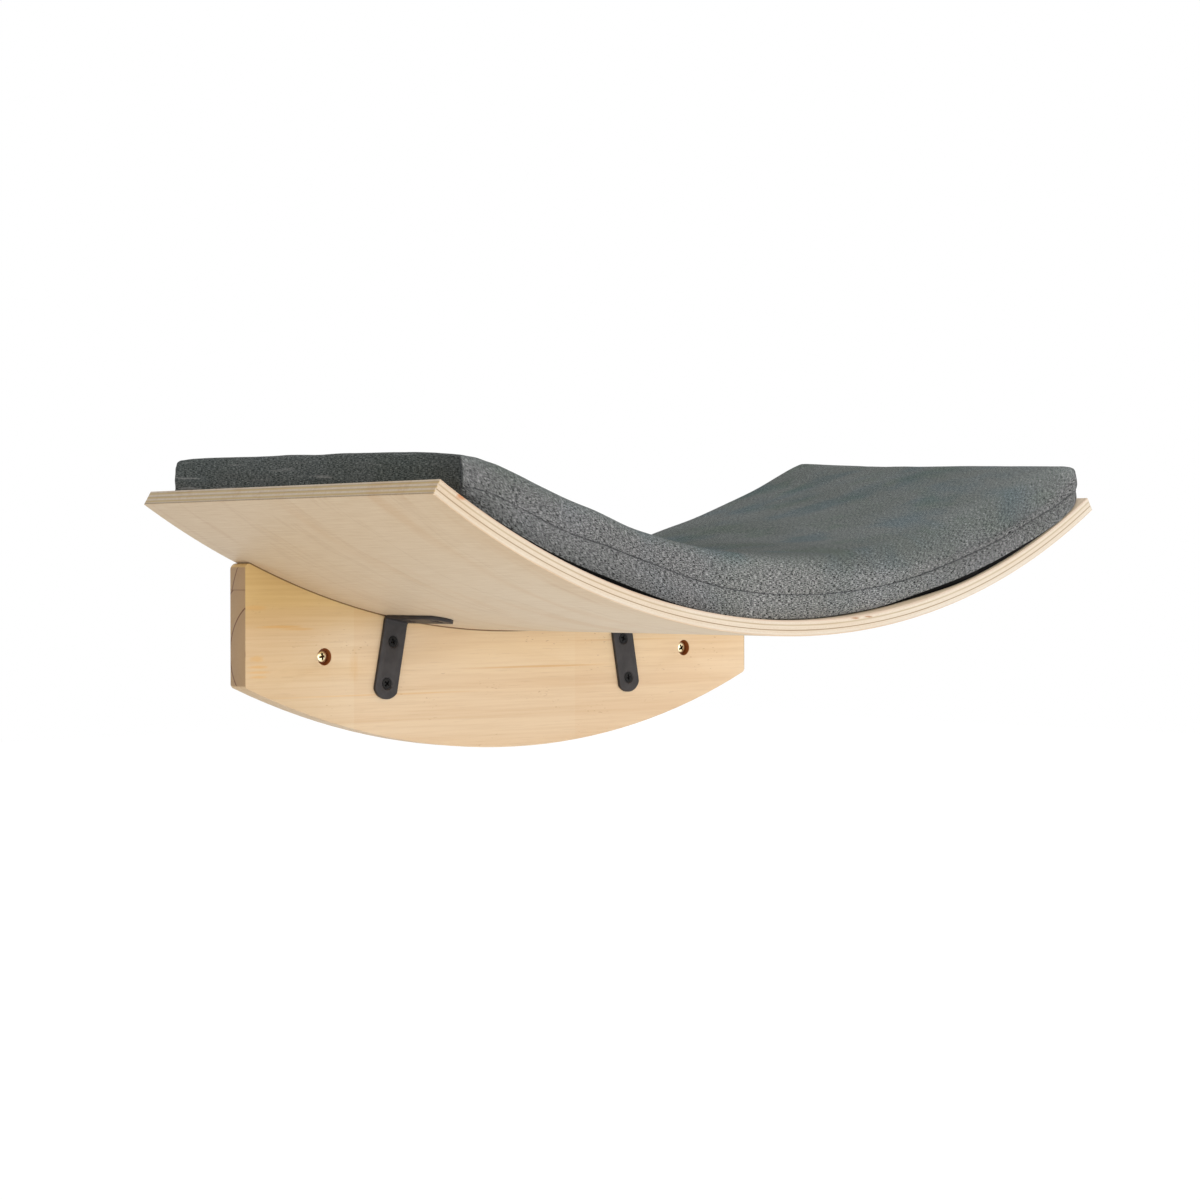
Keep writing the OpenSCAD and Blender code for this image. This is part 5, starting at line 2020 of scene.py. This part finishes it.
    @staticmethod
    def map_threads(mesh: Mesh, grid: Grid, ends: Array) -> None:
        """Gives the cover a UV map in metres of cloth, with the two end panels mapped apart.

        Args:
            mesh: The cover's mesh, still of four-cornered faces.
            grid: The cover's grid.
            ends: 1 on the end panels.
        """
        far_off, last_gap, once_round = 700.0, 4.6, 60.0
        loops = np.empty(len(mesh.loops), np.int64)
        mesh.loops.foreach_get("vertex_index", loops)
        end_uv = grid.local.reshape(-1, 2)[loops] + far_off
        on_end = np.repeat(ends.reshape(-1)[loops].reshape(-1, 4).min(axis=1) > 0.6, 4)
        wrapped = grid.rolled.reshape(-1, 2)[loops].reshape(-1, 4, 2)
        total = grid.rolled[:, -1, 1].max() + last_gap
        girth = wrapped[:, :, 1]
        jump = (girth.max(axis=1) - girth.min(axis=1)) > once_round
        wrapped[:, :, 1] = np.where(jump[:, None] & (girth < 1.0), total, girth)
        uv = np.where(on_end[:, None], end_uv, wrapped.reshape(-1, 2)) * MM
        mesh.uv_layers.new(name="Thread").data.foreach_set("uv", uv.reshape(-1).astype(np.float32))

    def cover_piece(self, grid: Grid, palette: Palette) -> Piece:
        """Turns the grid into a mesh with its UV map and the masks of its panels.

        Args:
            grid: The shaped grid.
            palette: The finishes.

        Returns:
            The cover.
        """
        mesh = bpy.data.meshes.new("cushion_cover_sewn")
        faces = skin(*grid.points.shape[:2])
        mesh.from_pydata([tuple(p) for p in grid.points.reshape(-1, 3)], [], faces)
        masks = self.masks(grid)
        for name, values in masks.items():
            attribute = mesh.attributes.new(name, "FLOAT", "POINT")
            attribute.data.foreach_set("value", values.reshape(-1).astype(np.float32))
        self.map_threads(mesh, grid, masks["end_panel"])
        with edited(mesh) as work:
            rim = [edge for edge in work.edges if edge.is_boundary]
            bmesh.ops.holes_fill(work, edges=rim, sides=0)
            bmesh.ops.remove_doubles(work, verts=work.verts, dist=0.05 * MM)
            bmesh.ops.dissolve_degenerate(work, edges=work.edges, dist=0.01 * MM)
            bmesh.ops.recalc_face_normals(work, faces=work.faces)
        cover = new_piece("cushion_cover_sewn", mesh, palette["cover_cloth"])
        smooth(mesh, 70)
        return cover

    def seam_piece(self, grid: Grid, normal: Array, palette: Palette) -> Piece:
        """The dark stitched line along the front side, and those down the four corners.

        Args:
            grid: The shaped grid.
            normal: Its outward normals.
            palette: The finishes.

        Returns:
            The seams as one piece.
        """
        points, marks = grid.points, grid.marks
        row = marks["seam"].start
        first, last = 8, points.shape[0] - 9
        paths = [points[first:last, row] + normal[first:last, row] * 0.08 * MM]
        for station in (7, points.shape[0] - 8):
            paths.append(points[station, 1:31] + normal[station, 1:31] * 0.02 * MM)
            back = slice(marks["back"].start + 1, marks["back"].stop - 1)
            paths.append(points[station, back] + normal[station, back] * 0.02 * MM)
        shapes = [tube_shape(path, self.seam_thread * MM, 6) for path in paths]
        mesh = mesh_of("cushion_seams", gathered(shapes))
        smooth(mesh, 80)
        return new_piece("cushion_seams", mesh, palette["zip_tape"])


@dataclass
class Zip:
    """The zip in the cushion's back side."""

    bend: Bend
    radius: float = 450.5 * MM
    half_angle: float = 25.0
    tape_width: float = 13.0 * MM
    tape_front: float = -9.7 * MM
    tape_back: float = -9.1 * MM
    coil_width: float = 5.0 * MM
    coil_thick: float = 1.6 * MM
    pitch: float = 1.5 * MM
    stop_length: float = 2.5 * MM

    def tooth(self) -> Piece:
        """One rounded tooth that reaches from a row's outer edge past the middle."""
        low, high = -self.coil_width / 2, 0.55 * MM
        half = self.coil_thick / 2
        shape = flat_bar((low, high), (-half, half), (-0.45 * MM, 0.45 * MM), 0.3 * MM, 0.01, 1)
        points = [(z, y + 0.5 * self.coil_thick, x) for x, y, z in shape[0]]
        return new_piece("tooth", mesh_of("tooth", (points, shape[1])))

    def stitch(self) -> Piece:
        """One stitch along the tape's edge."""
        long, thick, wide = 1.0 * MM, 0.12 * MM, 0.2 * MM
        shape = flat_bar((-long, long), (-thick, thick), (-wide, wide), 0.08 * MM, 0.01, 1)
        return new_piece("stitch", mesh_of("stitch", shape))

    def build(self, palette: Palette) -> list[Piece]:
        """Makes the chain, the slider and the pull.

        Args:
            palette: The finishes.

        Returns:
            The three pieces.
        """
        half = math.radians(self.half_angle) * self.radius
        wide = self.tape_width / 2
        shapes = [flat_bar((-half, half), (self.tape_front, self.tape_back), (-wide, wide), 0.2 * MM, 3 * MM)]
        for start in (-half, half - self.stop_length):
            ends = (start, start + self.stop_length)
            outward = (self.tape_back, self.tape_back + 2.0 * MM)
            shapes.append(flat_bar(ends, outward, (-3 * MM, 3 * MM), 0.4 * MM, 1 * MM))
        tooth, stitch = self.tooth(), self.stitch()
        values = {
            "Tooth": tooth, "Stitch": stitch, "Length": 2 * (half - self.stop_length), "Pitch": self.pitch,
            "Stitch Pitch": 3 * MM, "Stitch Height": 5 * MM, "Y": self.tape_back,
            "Stitch Y": self.tape_back + 0.1 * MM, "Radius": self.radius,
            "Axis Height": self.bend.axis_height, "Material": palette["zip_tape"],
        }
        chain = grown("zip_chain_toothed", mesh_of("tape", gathered(shapes)), Trees.bent_teeth(), values)
        for element in (tooth, stitch):
            bpy.data.objects.remove(element)
        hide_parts("zip_chain")
        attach(chain, "cushion")
        pieces = [chain]
        for node, body in (("zip_slider", "slider"), ("zip_pull", "pull")):
            piece = softened_copy(node, node + "_eased", palette["zip_metal"], 0.15 * MM)
            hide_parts(node)
            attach(piece, body)
            pieces.append(piece)
        return pieces


# stage


@dataclass(frozen=True)
class Lamp:
    """One soft square lamp, aimed at the shelf."""

    name: str
    place: Point
    size: float
    watts: float
    colour: Point = (1.0, 1.0, 1.0)

    def build(self) -> Piece:
        """Makes the lamp.

        Returns:
            The lamp's object.
        """
        data = bpy.data.lights.new(self.name, "AREA")
        data.shape, data.size, data.energy, data.color = "SQUARE", self.size, self.watts, self.colour
        lamp = bpy.data.objects.new(self.name, data)
        bpy.context.scene.collection.objects.link(lamp)
        lamp.location = self.place
        aim = Vector((0.0, -0.12, 0.03)) - Vector(self.place)
        lamp.rotation_euler = aim.to_track_quat("-Z", "Y").to_euler()
        return lamp


@dataclass(frozen=True)
class Studio:
    """A plain pale floor, a white surround, soft lamps and the camera."""

    floor_height: float = -0.45
    surround: float = 0.62
    azimuth: float = -42.0453
    elevation: float = 0.5027
    roll: float = -0.0740
    distance: float = 1.5620
    target: Point = (-0.00874, -0.1, 0.03155)
    lens: float = 81.984

    def camera(self) -> None:
        """Puts the camera where the photograph's one stood."""
        a, e, r = (math.radians(v) for v in (self.azimuth, self.elevation, self.roll))
        back = Vector((math.sin(a) * math.cos(e), -math.cos(a) * math.cos(e), math.sin(e)))
        right = Vector((math.cos(a), math.sin(a), 0.0))
        up = back.cross(right)
        side, top = right * math.cos(r) + up * math.sin(r), up * math.cos(r) - right * math.sin(r)
        data = bpy.data.cameras.new("camera")
        data.lens, data.sensor_width, data.sensor_fit = self.lens, 36.0, "HORIZONTAL"
        data.clip_start, data.clip_end = 0.05, 50.0
        camera = bpy.data.objects.new("camera", data)
        bpy.context.scene.collection.objects.link(camera)
        turn = Matrix((side, top, back)).transposed().to_4x4()
        camera.matrix_world = Matrix.Translation(Vector(self.target) + back * self.distance) @ turn
        bpy.context.scene.camera = camera

    def seen_white(self, graph: Graph) -> Socket:
        """1 for rays that show the surroundings, straight, mirrored or through glass."""
        path = graph.add("ShaderNodeLightPath").outputs
        seen = graph.maths("MAXIMUM", path["Is Camera Ray"], path["Is Glossy Ray"])
        return graph.maths("MAXIMUM", seen, path["Is Transmission Ray"])

    def build(self) -> None:
        """Makes the whole stage."""
        scene = bpy.context.scene
        world = bpy.data.worlds.new("surround")
        scene.world = world
        world.use_nodes = True
        graph = Graph(world.node_tree)
        background = world.node_tree.nodes["Background"]
        background.inputs["Color"].default_value = (1.0, 1.0, 1.0, 1.0)
        inputs = {"Value": self.seen_white(graph), "To Min": self.surround, "To Max": 1.0}
        strength = graph.add("ShaderNodeMapRange", inputs).outputs[0]
        graph.feed(background.inputs["Strength"], strength)
        floor_mesh = mesh_of("floor", ([(-6, -6, 0), (6, -6, 0), (6, 6, 0), (-6, 6, 0)], [(0, 1, 2, 3)]))
        floor_mesh.transform(Matrix.Translation((0.0, 0.0, self.floor_height)))
        floor = new_piece("floor", floor_mesh, self.floor_material())
        scene.view_settings.view_transform = "Standard"
        for lamp in (
            Lamp("key", (0.45, -2.4, 0.75), 1.6, 33.0),
            Lamp("fill", (-2.1, -1.3, 0.4), 1.8, 10.0),
            Lamp("low", (0.2, -1.6, -0.35), 1.2, 7.0, (1.0, 0.98, 0.95)),
        ):
            lamp.build()
        self.camera()

    def floor_material(self) -> Material:
        """A pale floor that reads white to the camera and still takes a soft shadow."""
        material = bpy.data.materials.new("pale_floor")
        material.use_nodes = True
        graph = Graph(material.node_tree)
        nodes = material.node_tree.nodes
        shader = nodes["Principled BSDF"]
        shader.inputs["Base Color"].default_value = (0.9, 0.9, 0.89, 1.0)
        shader.inputs["Roughness"].default_value = 0.9
        glow = graph.add("ShaderNodeEmission", {"Color": (1.0, 1.0, 1.0, 1.0), "Strength": 1.1}).outputs[0]
        share = graph.times(self.seen_white(graph), 0.85)
        mixed = graph.add("ShaderNodeMixShader", {0: share, 1: shader.outputs[0], 2: glow}).outputs[0]
        graph.feed(nodes["Material Output"].inputs["Surface"], mixed)
        return material


# the whole


def main() -> None:
    """Builds every sub-assembly in order and reports its pieces."""
    logging.basicConfig(level=logging.INFO, format="%(name)s: %(message)s")
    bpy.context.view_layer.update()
    bend = Bend()
    Studio().build()
    palette = Palette(bend)
    builders: list[tuple[str, Callable[[Palette], Any]]] = [
        ("plywood seat", PlywoodSeat(bend).build),
        ("wall mount", WallMount().build),
        ("screws", Screws(bend).build),
        ("grip tapes", GripTapes(bend).build),
        ("cushion", Cushion(bend).build),
        ("zip", Zip(bend).build),
    ]
    for label, build in builders:
        made = build(palette)
        for piece in made if isinstance(made, list) else [made]:
            LOG.info("%s: %s, %d faces", label, piece.name, len(piece.data.polygons))


if __name__ == "__main__":
    main()
